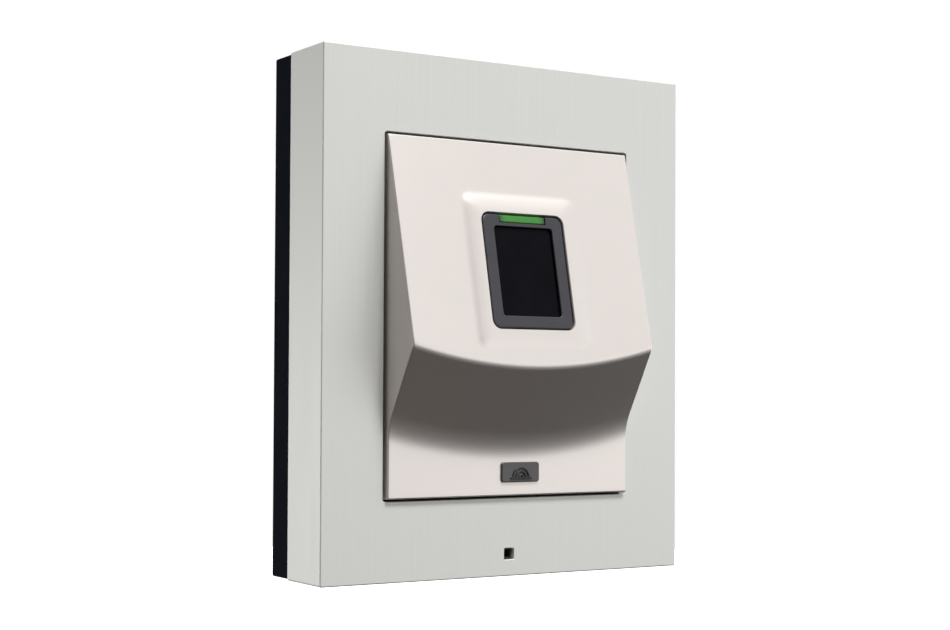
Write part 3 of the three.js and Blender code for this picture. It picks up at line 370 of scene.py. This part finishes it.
def wedge(name, inset, back, spacing, face_steps, arc_steps, edge_steps, with_boss):
    """The reader's wedge as a closed solid, inset inside its outer surface."""
    half = READER_WIDTH / 2 - inset
    edge = max(BEZEL_EDGE - inset, LEAST_EDGE)
    vertices = []
    columns = []
    for x in stations_across(half, edge, spacing, edge_steps):
        points = outline(x, inset, back, face_steps, arc_steps)
        over = max(abs(x) - (half - edge), 0)
        edge_drop = edge - math.sqrt(max(edge * edge - over * over, 0))
        column = []
        for i, point in enumerate(points):
            distance = back
            if 0 < i < len(points) - 1:
                distance = point.y - edge_drop + (boss_rise(x, point.x) if with_boss else 0)
            lean = 1 - SIDE_DRAFT * (distance - FRAME_FRONT) / half
            column.append(len(vertices))
            vertices.append((x * lean, -distance, point.x))
        columns.append(column)
    faces = []
    for a, b in zip(columns, columns[1:]):
        for i in range(len(a) - 1):
            faces.append((a[i], a[i + 1], b[i + 1], b[i]))
    faces.append(tuple(columns[0]))
    faces.append(tuple(reversed(columns[-1])))
    faces.append(tuple([c[0] for c in columns] + [c[-1] for c in reversed(columns)]))
    return new_object(name, vertices, faces)


# ---------------------------------------------------------------- materials
NOISE_LOW = 0.3
NOISE_HIGH = 0.7
BROAD_MOTTLE = (180.0, 180.0, 180.0)


def material(name, color, roughness, metallic=0.0, **sockets):
    """A Principled material; tint(), rough() and bump() add what varies over its surface."""
    made = bpy.data.materials.new(name)
    made.use_nodes = True
    shader = made.node_tree.nodes["Principled BSDF"]
    shader.inputs["Base Color"].default_value = (*color, 1)
    shader.inputs["Roughness"].default_value = roughness
    shader.inputs["Metallic"].default_value = metallic
    for socket, value in sockets.items():
        shader.inputs[socket.replace("_", " ")].default_value = value
    return made


def noise(made, stretch, detail=3.0):
    """A noise texture in object space; stretch is how many features fit in a metre along x, y, z."""
    nodes = made.node_tree.nodes
    links = made.node_tree.links
    where = nodes.new("ShaderNodeTexCoord")
    mapping = nodes.new("ShaderNodeMapping")
    mapping.inputs["Scale"].default_value = stretch
    texture = nodes.new("ShaderNodeTexNoise")
    texture.inputs["Scale"].default_value = 1.0
    texture.inputs["Detail"].default_value = detail
    links.new(where.outputs["Object"], mapping.inputs["Vector"])
    links.new(mapping.outputs["Vector"], texture.inputs["Vector"])
    return texture.outputs["Fac"]


def spread(made, source, low, high):
    """The usual range of a noise, stretched to run from low to high."""
    node = made.node_tree.nodes.new("ShaderNodeMapRange")
    node.inputs["From Min"].default_value = NOISE_LOW
    node.inputs["From Max"].default_value = NOISE_HIGH
    node.inputs["To Min"].default_value = low
    node.inputs["To Max"].default_value = high
    made.node_tree.links.new(source, node.inputs["Value"])
    return node.outputs["Result"]


def tint(made, source, first, second):
    """Base colour that runs from first to second with a noise."""
    node = made.node_tree.nodes.new("ShaderNodeMix")
    node.data_type = "RGBA"
    node.inputs["A"].default_value = (*first, 1)
    node.inputs["B"].default_value = (*second, 1)
    made.node_tree.links.new(spread(made, source, 0, 1), node.inputs["Factor"])
    shader = made.node_tree.nodes["Principled BSDF"]
    made.node_tree.links.new(node.outputs["Result"], shader.inputs["Base Color"])


def bump(made, source, strength, depth):
    """Relief from a noise; depth is in metres."""
    node = made.node_tree.nodes.new("ShaderNodeBump")
    node.inputs["Strength"].default_value = strength
    node.inputs["Distance"].default_value = depth
    made.node_tree.links.new(source, node.inputs["Height"])
    shader = made.node_tree.nodes["Principled BSDF"]
    made.node_tree.links.new(node.outputs["Normal"], shader.inputs["Normal"])


def rough(made, source, low, high):
    """Roughness that runs from low to high with a noise."""
    shader = made.node_tree.nodes["Principled BSDF"]
    made.node_tree.links.new(spread(made, source, low, high), shader.inputs["Roughness"])


def shifted(color, share):
    return tuple(min(1.0, channel * share) for channel in color)


def moulded(name, color, roughness, grain=2600.0, depth=2e-5, mottle=0.04, uneven=0.05, **sockets):
    """Moulded plastic or rubber: a fine grain, and a slight mottle over a few millimetres."""
    made = material(name, color, roughness, **sockets)
    fine = noise(made, (grain, grain, grain), 2.0)
    broad = noise(made, BROAD_MOTTLE, 3.0)
    tint(made, broad, shifted(color, 1 - mottle), shifted(color, 1 + mottle))
    rough(made, broad, roughness - uneven, roughness + uneven)
    bump(made, fine, 0.35, depth)
    return made


def brushed_metal():
    """Aluminium brushed up and down: long fine streaks in colour, gloss and relief."""
    color = (0.692, 0.704, 0.676)
    made = material("frame_metal", color, 0.5, 0.4)
    streaks = noise(made, (2600.0, 2600.0, 26.0), 4.0)
    tint(made, streaks, shifted(color, 0.975), shifted(color, 1.02))
    rough(made, streaks, 0.46, 0.56)
    bump(made, streaks, 0.25, 1.2e-5)
    return made


def light_bar():
    """Green light guide that dims towards its two ends."""
    fade_start = LIGHT_WIDTH / 2 - 1.6
    fade_end = LIGHT_WIDTH / 2 + 0.1
    made = moulded(
        "light_plastic", (0.05, 0.21, 0.04), 0.3, 1500.0, 6e-6, 0.08,
        Emission_Color=(0.06, 0.5, 0.05, 1), Emission_Strength=0.04, Specular_IOR_Level=0.3,
    )
    nodes = made.node_tree.nodes
    links = made.node_tree.links
    shader = nodes["Principled BSDF"]
    where = nodes.new("ShaderNodeTexCoord")
    apart = nodes.new("ShaderNodeSeparateXYZ")
    links.new(where.outputs["Object"], apart.inputs["Vector"])
    out = nodes.new("ShaderNodeMath")
    out.operation = "ABSOLUTE"
    links.new(apart.outputs["X"], out.inputs[0])
    ends = nodes.new("ShaderNodeMapRange")
    ends.interpolation_type = "SMOOTHSTEP"
    ends.inputs["From Min"].default_value = fade_start * MM
    ends.inputs["From Max"].default_value = fade_end * MM
    links.new(out.outputs["Value"], ends.inputs["Value"])
    faded = nodes.new("ShaderNodeMix")
    faded.data_type = "RGBA"
    faded.inputs["B"].default_value = (0.035, 0.055, 0.035, 1)
    links.new(ends.outputs["Result"], faded.inputs["Factor"])
    links.new(shader.inputs["Base Color"].links[0].from_socket, faded.inputs["A"])
    links.new(faded.outputs["Result"], shader.inputs["Base Color"])
    return made


def circuit_board():
    """Solder mask with the faint lines of the tracks under it."""
    made = material("board_green", (0.012, 0.105, 0.05), 0.35, Coat_Weight=0.3)
    tracks = noise(made, (420.0, 420.0, 60.0), 1.0)
    tint(made, tracks, (0.009, 0.08, 0.04), (0.02, 0.15, 0.075))
    rough(made, tracks, 0.28, 0.42)
    bump(made, tracks, 0.3, 3e-5)
    return made


def make_materials():
    return {
        "frame_metal": brushed_metal(),
        "back_plastic": moulded(
            "back_plastic", (0.003, 0.006, 0.012), 0.7, 2200.0, 2.5e-5, 0.12, Specular_IOR_Level=0.02
        ),
        "shell_plastic": moulded(
            "shell_plastic", (0.72, 0.676, 0.648), 0.36, 3200.0, 1e-5, 0.006, 0.004, Metallic=0.62
        ),
        "slate_plastic": moulded("slate_plastic", (0.03, 0.03, 0.037), 0.42, 3000.0, 1.5e-5, 0.05),
        "rubber": moulded("rubber", (0.012, 0.012, 0.013), 0.8, 1800.0, 4e-5, 0.15),
        "window_glass": moulded(
            "window_glass", (0.003, 0.003, 0.005), 0.2, 900.0, 1e-6, 0.2, Specular_IOR_Level=0.05
        ),
        "optical_glass": moulded(
            "optical_glass", (0.2, 0.21, 0.23), 0.1, 900.0, 1e-6, 0.05, Coat_Weight=1.0
        ),
        "light_plastic": light_bar(),
        "badge_grey": moulded("badge_grey", (0.066, 0.062, 0.067), 0.33, 2400.0, 6e-6, 0.05),
        "badge_dark": moulded("badge_dark", (0.012, 0.010, 0.012), 0.4, 2400.0, 6e-6, 0.1),
        "board_green": circuit_board(),
        "chip_black": moulded("chip_black", (0.012, 0.012, 0.013), 0.42, 2600.0, 1.5e-5, 0.1),
        "steel": moulded("steel", (0.56, 0.57, 0.58), 0.28, 2000.0, 5e-6, 0.05, Metallic=1.0),
        "white_plastic": moulded("white_plastic", (0.72, 0.72, 0.69), 0.45, 2400.0, 1e-5, 0.02),
        "terminal_green": moulded("terminal_green", (0.03, 0.22, 0.08), 0.42, 2200.0, 1.5e-5, 0.06),
        "ribbon_amber": moulded("ribbon_amber", (0.55, 0.3, 0.09), 0.35, 1500.0, 5e-6, 0.06),
    }


materials = make_materials()


def paint_cad_nodes():
    """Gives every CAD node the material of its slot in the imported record."""
    for part in frame["record"]["subparts"]:
        obj = frame["nodes"][part["node"]]
        obj.data.materials.clear()
        obj.data.materials.append(materials[part["material_slot"]])


def finished(obj, slot, *nodes, body="root", sharp=38):
    """Shades a new piece, paints it, and hands it to its body in place of its CAD nodes."""
    obj.data.materials.clear()
    obj.data.materials.append(materials[slot])
    obj.data.shade_smooth()
    obj.data.set_sharp_from_angle(angle=math.radians(sharp))
    weighted = obj.modifiers.new("weighted", "WEIGHTED_NORMAL")
    weighted.keep_sharp = True
    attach(obj, body)
    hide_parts(*nodes)
    return obj


# ---------------------------------------------------------------- casing
def make_frame():
    edge = 0.35
    back_edge = 0.15
    opening_edge = 0.12
    inner_radius = 0.8
    inner_width = WIDTH - 2 * FRAME_WALL
    inner_height = HEIGHT - 2 * FRAME_WALL
    outer = [
        (WIDTH - 2 * back_edge, HEIGHT - 2 * back_edge, FRAME_CORNER_RADIUS, PLATE_FRONT),
        (WIDTH, HEIGHT, FRAME_CORNER_RADIUS, PLATE_FRONT + back_edge),
        *eased(WIDTH, HEIGHT, FRAME_CORNER_RADIUS, FRAME_FRONT, edge),
    ]
    hole = eased_hole(OPENING_WIDTH, OPENING_HEIGHT, OPENING_RADIUS, FRAME_FRONT, opening_edge)
    loops = [round_loop(*row) for row in outer]
    loops += [round_loop(*row, 0, OPENING_Z) for row in hole]
    loops.append(round_loop(OPENING_WIDTH, OPENING_HEIGHT, OPENING_RADIUS, FRAME_INSIDE, 0, OPENING_Z))
    loops.append(round_loop(inner_width, inner_height, inner_radius, FRAME_INSIDE))
    loops.append(round_loop(inner_width, inner_height, inner_radius, PLATE_FRONT))
    shell = new_object("front_frame_metal", *skin(loops, True))
    cut(shell, port_tool(), *screw_sinks())
    join(shell, *hook_tongues())
    return finished(shell, "frame_metal", "front_frame")


def port_tool():
    """The square port through the frame's face, with a slightly flared mouth."""
    edge = 0.12
    radius = 0.3
    mouth = (PORT_SIZE + 2 * edge, PORT_SIZE + 2 * edge, radius + edge)
    stations = [
        (PORT_SIZE, PORT_SIZE, radius, FRAME_INSIDE - PAST),
        (PORT_SIZE, PORT_SIZE, radius, FRAME_FRONT - edge),
        (*mouth, FRAME_FRONT),
        (*mouth, FRAME_FRONT + PAST),
    ]
    return stack("port_tool", stations, 0, PORT_Z)


def screw_sinks():
    """Countersunk holes through the frame's lower wall for its two screws."""
    mouth = SCREW_HEAD_RADIUS + 0.3
    hole = SCREW_SHANK_RADIUS + 0.35
    bottom = -HEIGHT / 2
    profile = [
        (mouth, bottom - PAST),
        (mouth, bottom),
        (hole, bottom + SCREW_HEAD_HEIGHT),
        (hole, bottom + FRAME_WALL + PAST),
    ]
    return [
        turned(f"sink_{side}", profile, side * FRAME_SCREW_X, FRAME_SCREW_DISTANCE)
        for side in (-1, 1)
    ]


def hook_tongues():
    """Two tongues inside the frame's upper wall, which hook behind the back plate's lugs."""
    x = 30
    section = (9, 2.6, 0.2)
    below_wall = 0.7
    near = PLATE_FRONT + 2.4
    far = PLATE_FRONT + 4.5
    z = HEIGHT / 2 - FRAME_WALL - below_wall
    return [
        stack(f"tongue_{side}", [(*section, near), (*section, far)], side * x, z)
        for side in (-1, 1)
    ]


def make_frame_screws():
    sunk_by = 0.15
    rim = 0.12
    tip = 0.5
    socket_radius = 1.2
    socket_depth = 1
    bottom = -HEIGHT / 2 + sunk_by
    top = -HEIGHT / 2 + FRAME_WALL + 5.5
    profile = [
        (SCREW_HEAD_RADIUS - sunk_by, bottom),
        (SCREW_HEAD_RADIUS, bottom + rim),
        (SCREW_SHANK_RADIUS, bottom + SCREW_HEAD_HEIGHT),
        (SCREW_SHANK_RADIUS, top - tip),
        (SCREW_SHANK_RADIUS - tip, top),
    ]
    for i, side in enumerate((-1, 1)):
        x = side * FRAME_SCREW_X
        screw = turned(f"frame_screw_{i + 1}_steel", profile, x, FRAME_SCREW_DISTANCE)
        hexagon = [(socket_radius, bottom - PAST), (socket_radius, bottom + socket_depth)]
        socket = turned("socket", hexagon, x, FRAME_SCREW_DISTANCE, 6)
        finished(cut(screw, socket), "steel", f"frame_screw_{i + 1}")


def refined(node, name, width, keep):
    """A copy of a CAD node with merged flat faces, and its kept edges rounded."""
    obj = frame["nodes"][node].copy()
    obj.data = obj.data.copy()
    obj.name = name
    obj.parent = None
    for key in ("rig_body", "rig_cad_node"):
        del obj[key]
    bpy.context.scene.collection.objects.link(obj)
    shape = bmesh.new()
    shape.from_mesh(obj.data)
    bmesh.ops.remove_doubles(shape, verts=shape.verts, dist=1e-6)
    bmesh.ops.dissolve_limit(
        shape, angle_limit=math.radians(0.5), verts=shape.verts, edges=shape.edges
    )
    edges = [
        e for e in shape.edges
        if len(e.link_faces) == 2 and e.calc_face_angle() > math.radians(25) and keep(e)
    ]
    bmesh.ops.bevel(
        shape, geom=edges, offset=width * MM, segments=3, profile=0.5, affect="EDGES", clamp_overlap=True
    )
    shape.to_mesh(obj.data)
    shape.free()
    return obj


def on_plate_outline(edge):
    """True for the back plate's outer edges at its back and front."""
    margin = 0.8
    near = 0.1
    reach_x = WIDTH / 2 - margin
    reach_z = HEIGHT / 2 - margin
    for vertex in edge.verts:
        x, y, z = (abs(c) / MM for c in vertex.co)
        outside = x > reach_x or z > reach_z
        if not outside or min(abs(y - PLATE_BACK), abs(y - PLATE_FRONT)) > near:
            return False
    return True


def make_back_plate():
    plate = refined("back_plate", "back_plate_moulding", 0.4, on_plate_outline)
    return finished(plate, "back_plastic", "back_plate")


def make_gasket():
    inset = 3
    ease = 0.25
    radius = 4
    front = PLATE_BACK - 0.05
    width = WIDTH - 2 * inset
    height = HEIGHT - 2 * inset
    eased_size = (width - 2 * ease, height - 2 * ease, radius - ease)
    sheet = stack(
        "wall_gasket_sheet",
        [
            (*eased_size, 0),
            (width, height, radius, ease),
            (width, height, radius, front - ease),
            (*eased_size, front),
        ],
        steps=10,
    )
    through = (-PAST, 3)
    cable = (CABLE_WIDTH, CABLE_HEIGHT, CABLE_RADIUS)
    slot = (SLOT_WIDTH, SLOT_LENGTH, SLOT_WIDTH / 2 - 0.01)
    tools = [stack("cable", [(*cable, d) for d in through], 0, CABLE_Z)]
    for x in (-SLOT_X, SLOT_X):
        for z in (-SLOT_Z, SLOT_Z):
            tools.append(stack("slot", [(*slot, d) for d in through], x, z))
    return finished(cut(sheet, *tools), "rubber", "wall_gasket")


def make_grommet():
    gap = 0.1
    wall = 3
    ease = 0.3
    chamfer = 0.2
    way_radius = 2
    collar_radius = 4
    collar_back = 4.05
    front = 5.5
    neck = (CABLE_WIDTH - 2 * gap, CABLE_HEIGHT - 2 * gap)
    way = (neck[0] - 2 * wall, neck[1] - 2 * wall)
    mouth = (way[0] + 2 * ease, way[1] + 2 * ease, way_radius + ease)
    collar = (CABLE_WIDTH + 3, CABLE_HEIGHT + 3)
    loops = [
        (*mouth, PLATE_BACK),
        (*way, way_radius, PLATE_BACK + ease),
        (*way, way_radius, front - ease),
        (*mouth, front),
        (collar[0] - 2 * ease, collar[1] - 2 * ease, collar_radius - ease, front),
        (*collar, collar_radius, front - ease),
        (*collar, collar_radius, collar_back),
        (*neck, CABLE_RADIUS, collar_back),
        (*neck, CABLE_RADIUS, PLATE_BACK + chamfer),
        (neck[0] - 2 * chamfer, neck[1] - 2 * chamfer, CABLE_RADIUS - chamfer, PLATE_BACK),
    ]
    piece = stack("cable_grommet_rubber", loops, 0, CABLE_Z, closed=True, steps=10)
    return finished(piece, "rubber", "cable_grommet")


def make_frame_seal():
    inset = 1.2
    width = 1.4
    ease = 0.2
    radius = 1
    far = PLATE_FRONT - SEAL_GAP
    near = far - 1.1
    out = (WIDTH - 2 * inset, HEIGHT - 2 * inset)
    inn = (out[0] - 2 * width, out[1] - 2 * width)
    stations = [
        (*out, radius + ease, near),
        (*out, radius + ease, far - ease),
        (out[0] - 2 * ease, out[1] - 2 * ease, radius, far),
        (inn[0] + 2 * ease, inn[1] + 2 * ease, radius + ease, far),
        (*inn, radius, far - ease),
        (*inn, radius, near),
    ]
    return finished(stack("frame_seal_rubber", stations, closed=True), "rubber", "frame_seal")


def make_bezel_seal():
    ease = 0.2
    out = (OPENING_WIDTH + 4, OPENING_HEIGHT + 4, 2)
    inn = (READER_WIDTH + 0.4, READER_HEIGHT + 0.4, 0.25)
    near = FLANGE_FRONT + SEAL_GAP
    far = FRAME_INSIDE - SEAL_GAP
    stations = [
        (*out, near),
        (*out, far),
        (inn[0] + 2 * ease, inn[1] + 2 * ease, 0.4, far),
        (*inn, far - ease),
        (*inn, near),
    ]
    seal = stack("bezel_seal_rubber", stations, 0, OPENING_Z, closed=True)
    return finished(seal, "rubber", "bezel_seal")


def make_port_sleeve():
    back = 8.2
    shoulder = FRAME_INSIDE - SEAL_GAP
    tip = FRAME_FRONT - 1.2
    ease = 0.3
    chamfer = 0.2
    body = 4.8
    nose = PORT_SIZE - 0.2
    way = 1.7
    foot = 3
    foot_depth = 1.5
    loops = [
        (body, body, 0.3, back),
        (body, body, 0.3, shoulder - ease),
        (body - 2 * ease, body - 2 * ease, 0.3, shoulder),
        (nose, nose, 0.25, shoulder),
        (nose, nose, 0.25, tip - chamfer),
        (nose - 2 * chamfer, nose - 2 * chamfer, 0.2, tip),
        (way + chamfer, way + chamfer, 0.3, tip),
        (way, way, 0.2, tip - chamfer),
        (way, way, 0.2, back + foot_depth),
        (foot, foot, 0.2, back + foot_depth),
        (foot, foot, 0.2, back),
    ]
    sleeve = stack("port_sleeve_rubber", loops, 0, PORT_Z, closed=True, steps=4)
    return finished(sleeve, "rubber", "port_sleeve")


# ---------------------------------------------------------------- reader
SENSOR = Matrix.Translation((0, -SENSOR_DISTANCE, SENSOR_Z)) @ Matrix.Rotation(-SENSOR_TILT, 4, "X")


def sunk(name, stations, z=0.0, closed=False, steps=6, x=0.0):
    """A stack in the tilted sensor's own frame, whose stations give depths behind its face."""
    turned_round = [(w, h, r, -depth) for w, h, r, depth in stations]
    return stack(name, turned_round, x, z, closed, steps, SENSOR)


def make_bezel():
    outer = wedge("reader_bezel_shell", 0, FLANGE_BACK, 0.8, 80, 12, 6, True)
    flange = (OPENING_WIDTH + 2 * FLANGE_OVERLAP, OPENING_HEIGHT + 2 * FLANGE_OVERLAP, 2)
    join(outer, stack("flange", [(*flange, FLANGE_BACK), (*flange, FLANGE_FRONT)], 0, OPENING_Z))
    hollow = wedge("hollow", BEZEL_WALL, FLANGE_BACK - PAST, 3, 8, 6, 2, False)
    cut(hollow, *screw_posts(), *sensor_bosses())
    cut(outer, hollow, sensor_hole())
    return finished(outer, "shell_plastic", "reader_bezel")


def screw_posts():
    """Four posts inside the cover for the chassis screws."""
    radius = 2.6
    near = 19.2
    far = FRAME_FRONT + 12
    reach_x = READER_WIDTH / 2 - 5.5
    reach_z = READER_HEIGHT / 2 - 6
    return [
        rod("post", radius, near, far, x, OPENING_Z + z)
        for x in (-reach_x, reach_x) for z in (-reach_z, reach_z)
    ]


def sensor_bosses():
    """Two bosses inside the cover, above and below the sensor, for its screws."""
    radius = 2.1
    depth = 12.1
    reach = 19
    return [rod("boss", radius, -depth, 0, 0, z, SENSOR) for z in (reach, -reach)]


def sensor_hole():
    """The hole for the sensor's ring, flared where it meets the boss."""
    gap = 0.3
    flare = 0.18
    level = -0.18
    hole = (RING_WIDTH + 2 * gap, RING_LENGTH + 2 * gap, RING_RADIUS + gap)
    third = flare / 3
    part_way = (hole[0] + 2 * third, hole[1] + 2 * third, hole[2] + third)
    mouth = (hole[0] + 2 * flare, hole[1] + 2 * flare, hole[2] + flare)
    stations = [
        (*hole, RING_DEPTH + 2),
        (*hole, level + 0.3),
        (*part_way, level + 0.12),
        (*mouth, level),
        (*mouth, -4),
    ]
    return sunk("hole", stations, steps=10)


def make_ring():
    flange = (RING_WIDTH + 3, RING_LENGTH + 3, RING_RADIUS + 1)
    flange_front = -RING_DEPTH + 1.5
    window = (WINDOW_WIDTH, WINDOW_LENGTH, 0.8)
    seat = (WINDOW_WIDTH + 2.2, WINDOW_LENGTH + 2.2, 1.2)
    slot_gap = 0.2
    stations = [
        (*flange, -RING_DEPTH),
        (*flange, flange_front),
        (RING_WIDTH, RING_LENGTH, RING_RADIUS, flange_front),
        *eased(RING_WIDTH, RING_LENGTH, RING_RADIUS, 0, 0.4, 5),
        *eased_hole(*window, 0, 0.25, 4),
        (*window, -RING_LIP),
        (*seat, -RING_LIP),
        (*seat, -RING_DEPTH),
    ]
    ring = stack("sensor_ring_surround", stations, closed=True, steps=10, matrix=SENSOR)
    bottom = LIGHT_Z - LIGHT_HEIGHT / 2 - slot_gap
    top = RING_LENGTH / 2 + 3
    slot = (LIGHT_WIDTH + 2 * slot_gap, top - bottom, 0.2)
    tool = sunk("slot", [(*slot, -PAST), (*slot, RING_DEPTH + PAST)], (top + bottom) / 2)
    return finished(cut(ring, tool), "slate_plastic", "sensor_ring")


def make_window():
    ease = 0.15
    front = 0.8
    back = 2.0
    size = (WINDOW_WIDTH + 1.6, WINDOW_LENGTH + 1.6)
    stations = [
        (*size, 1, back),
        (*size, 1, front + ease),
        (size[0] - 2 * ease, size[1] - 2 * ease, 1 - ease, front),
    ]
    return finished(sunk("sensor_glass_pane", stations), "window_glass", "sensor_glass")


def make_light():
    back = 8.5
    edge_start = 0.33
    edge = 0.25
    steps = 4
    radius = 0.3
    stations = [(LIGHT_WIDTH, LIGHT_HEIGHT, radius, back)]
    for i in range(steps + 1):
        angle = math.pi / 2 * i / steps
        inset = edge * (1 - math.cos(angle))
        depth = edge_start - edge * math.sin(angle)
        stations.append((LIGHT_WIDTH - 2 * inset, LIGHT_HEIGHT - 2 * inset, radius, depth))
    return finished(sunk("light_guide_bar", stations, LIGHT_Z), "light_plastic", "light_guide")


# ---------------------------------------------------------------- badge
BADGE_BACK = FRAME_FRONT + LOWER_FACE_RISE + 0.05
BADGE_FRONT = BADGE_BACK + 0.5
BADGE_WIDTH = 11.4
BADGE_HEIGHT = 5.1
BADGE_RADIUS = 0.8


def make_badge():
    chamfer = 0.1
    size = (BADGE_WIDTH, BADGE_HEIGHT, BADGE_RADIUS)
    stations = [
        (BADGE_WIDTH - 2 * chamfer, BADGE_HEIGHT - 2 * chamfer, BADGE_RADIUS - chamfer, BADGE_BACK),
        (*size, BADGE_BACK + chamfer),
        *eased(*size, BADGE_FRONT, 0.3, 5),
    ]
    badge = stack("badge_plate", stations, BADGE_X, BADGE_Z, steps=8)
    return finished(badge, "badge_grey", "badge")


def arch_loop(radius, thickness, distance, foot, inset):
    """Outline of one arch standing on the emblem's bar."""
    outer = radius - inset
    inner = radius - thickness + inset
    steps = 14
    points = []
    for r, angles in ((outer, range(steps + 1)), (inner, range(steps, -1, -1))):
        ends = []
        for i in angles:
            angle = math.pi * i / steps
            ends.append((BADGE_X + r * math.cos(angle), -distance, foot + 0.1 + r * math.sin(angle)))
        first = (ends[0][0], -distance, foot)
        last = (ends[-1][0], -distance, foot)
        points += [first, *ends, last]
    return points


def make_emblem():
    thickness = 0.45
    ease = 0.08
    near = BADGE_FRONT + 0.05
    far = near + 0.25
    foot = BADGE_Z - 1.4
    width = 6.4
    height = 0.5
    stations = [
        (width, height, 0.1, near),
        (width, height, 0.1, far - ease),
        (width - 2 * ease, height - 2 * ease, 0.05, far),
    ]
    base = stack("badge_emblem_arches", stations, BADGE_X, foot - 0.1, steps=3)
    for radius in (2.6, 1.7, 0.8):
        levels = [(near, 0), (far - ease, 0), (far, ease)]
        loops = [arch_loop(radius, thickness, d, foot, inset) for d, inset in levels]
        join(base, new_object("arch", *skin(loops, False)))
    return finished(base, "badge_dark", "badge_emblem")


# ---------------------------------------------------------------- stage
def make_camera():
    data = bpy.data.cameras.new("camera")
    data.lens = 66.52
    data.sensor_width = 36
    data.shift_y = 0.0316
    data.clip_start = 0.01
    data.clip_end = 50
    camera = bpy.data.objects.new("camera", data)
    camera.location = (-0.24461, -0.39947, -0.01748)
    camera.rotation_euler = (math.radians(91.394), math.radians(-0.276), math.radians(-32.23))
    bpy.context.scene.collection.objects.link(camera)
    bpy.context.scene.camera = camera


def make_floor():
    """A wide pale disc well below the terminal; it glows a little, so it meets a white background."""
    radius = 4000
    sides = 96
    top = -420
    thickness = 4
    profile = [(radius, top - thickness), (radius, top)]
    floor = turned("floor", profile, 0, 0, sides)
    paint = material(
        "floor_paint", (0.86, 0.86, 0.85), 0.7, Emission_Color=(1, 1, 1, 1), Emission_Strength=0.8
    )
    broad = noise(paint, (9.0, 9.0, 9.0), 3.0)
    tint(paint, broad, (0.85, 0.85, 0.84), (0.88, 0.88, 0.87))
    floor.data.materials.append(paint)
    floor.visible_diffuse = False
    floor.visible_glossy = False


def area_light(name, place, size, power):
    """A round soft light that points at the terminal."""
    data = bpy.data.lights.new(name, "AREA")
    data.shape = "DISK"
    data.size = size
    data.energy = power
    light = bpy.data.objects.new(name, data)
    light.location = place
    light.rotation_euler = (-Vector(place)).to_track_quat("-Z", "Y").to_euler()
    bpy.context.scene.collection.objects.link(light)


def make_world():
    """White as seen. As light: a wide panel at the front right, a dimmer one behind, little from below."""
    world = bpy.data.worlds.new("studio")
    bpy.context.scene.world = world
    world.use_nodes = True
    nodes = world.node_tree.nodes
    links = world.node_tree.links
    nodes.clear()
    where = nodes.new("ShaderNodeTexCoord")
    apart = nodes.new("ShaderNodeSeparateXYZ")
    links.new(where.outputs["Generated"], apart.inputs["Vector"])

    def ramp(axis, low, high, at_low, at_high):
        node = nodes.new("ShaderNodeMapRange")
        node.interpolation_type = "SMOOTHSTEP"
        node.inputs["From Min"].default_value = low
        node.inputs["From Max"].default_value = high
        node.inputs["To Min"].default_value = at_low
        node.inputs["To Max"].default_value = at_high
        links.new(apart.outputs[axis], node.inputs["Value"])
        return node.outputs["Result"]

    def math_node(operation, first, second):
        node = nodes.new("ShaderNodeMath")
        node.operation = operation
        links.new(first, node.inputs[0])
        links.new(second, node.inputs[1])
        return node.outputs["Value"]

    sideways = ramp("X", 0.1, 0.45, 0.08, 1.0)
    upward = ramp("Z", -0.3, -0.1, 0.0, 1.0)
    behind = ramp("Y", 0.2, 0.75, 0.0, 0.6)
    toward_top = ramp("Z", -0.1, 0.3, 1.8, 0.95)
    bright = math_node("MULTIPLY", math_node("MULTIPLY", sideways, upward), toward_top)
    rear = math_node("MULTIPLY", behind, ramp("Z", -0.2, 0.2, 1.08, 0.84))
    dim = nodes.new("ShaderNodeBackground")
    dim.inputs["Color"].default_value = (1.0, 0.8, 0.7, 1)
    links.new(ramp("X", 0.2, 0.7, 0.06, 0.0), dim.inputs["Strength"])
    panels = nodes.new("ShaderNodeBackground")
    links.new(math_node("ADD", bright, rear), panels.inputs["Strength"])
    panels.inputs["Color"].default_value = (1, 1, 1, 1)
    lit = nodes.new("ShaderNodeAddShader")
    links.new(dim.outputs["Background"], lit.inputs[0])
    links.new(panels.outputs["Background"], lit.inputs[1])
    seen = nodes.new("ShaderNodeBackground")
    seen.inputs["Color"].default_value = (1, 1, 1, 1)
    path = nodes.new("ShaderNodeLightPath")
    chosen = nodes.new("ShaderNodeMixShader")
    links.new(path.outputs["Is Camera Ray"], chosen.inputs["Fac"])
    links.new(lit.outputs["Shader"], chosen.inputs[1])
    links.new(seen.outputs["Background"], chosen.inputs[2])
    output = nodes.new("ShaderNodeOutputWorld")
    links.new(chosen.outputs["Shader"], output.inputs["Surface"])


# ---------------------------------------------------------------- build
bpy.context.scene.view_settings.view_transform = "Standard"
make_camera()
make_floor()
make_world()
area_light("key", (0.48, -4.7, 8.3), 2.6, 1090)
area_light("rim", (-1.1, 0.95, -0.12), 0.6, 5.2)
paint_cad_nodes()
make_frame()
make_frame_screws()
make_back_plate()
make_gasket()
make_grommet()
make_frame_seal()
make_bezel_seal()
make_port_sleeve()
make_bezel()
make_ring()
make_window()
make_light()
make_badge()
make_emblem()
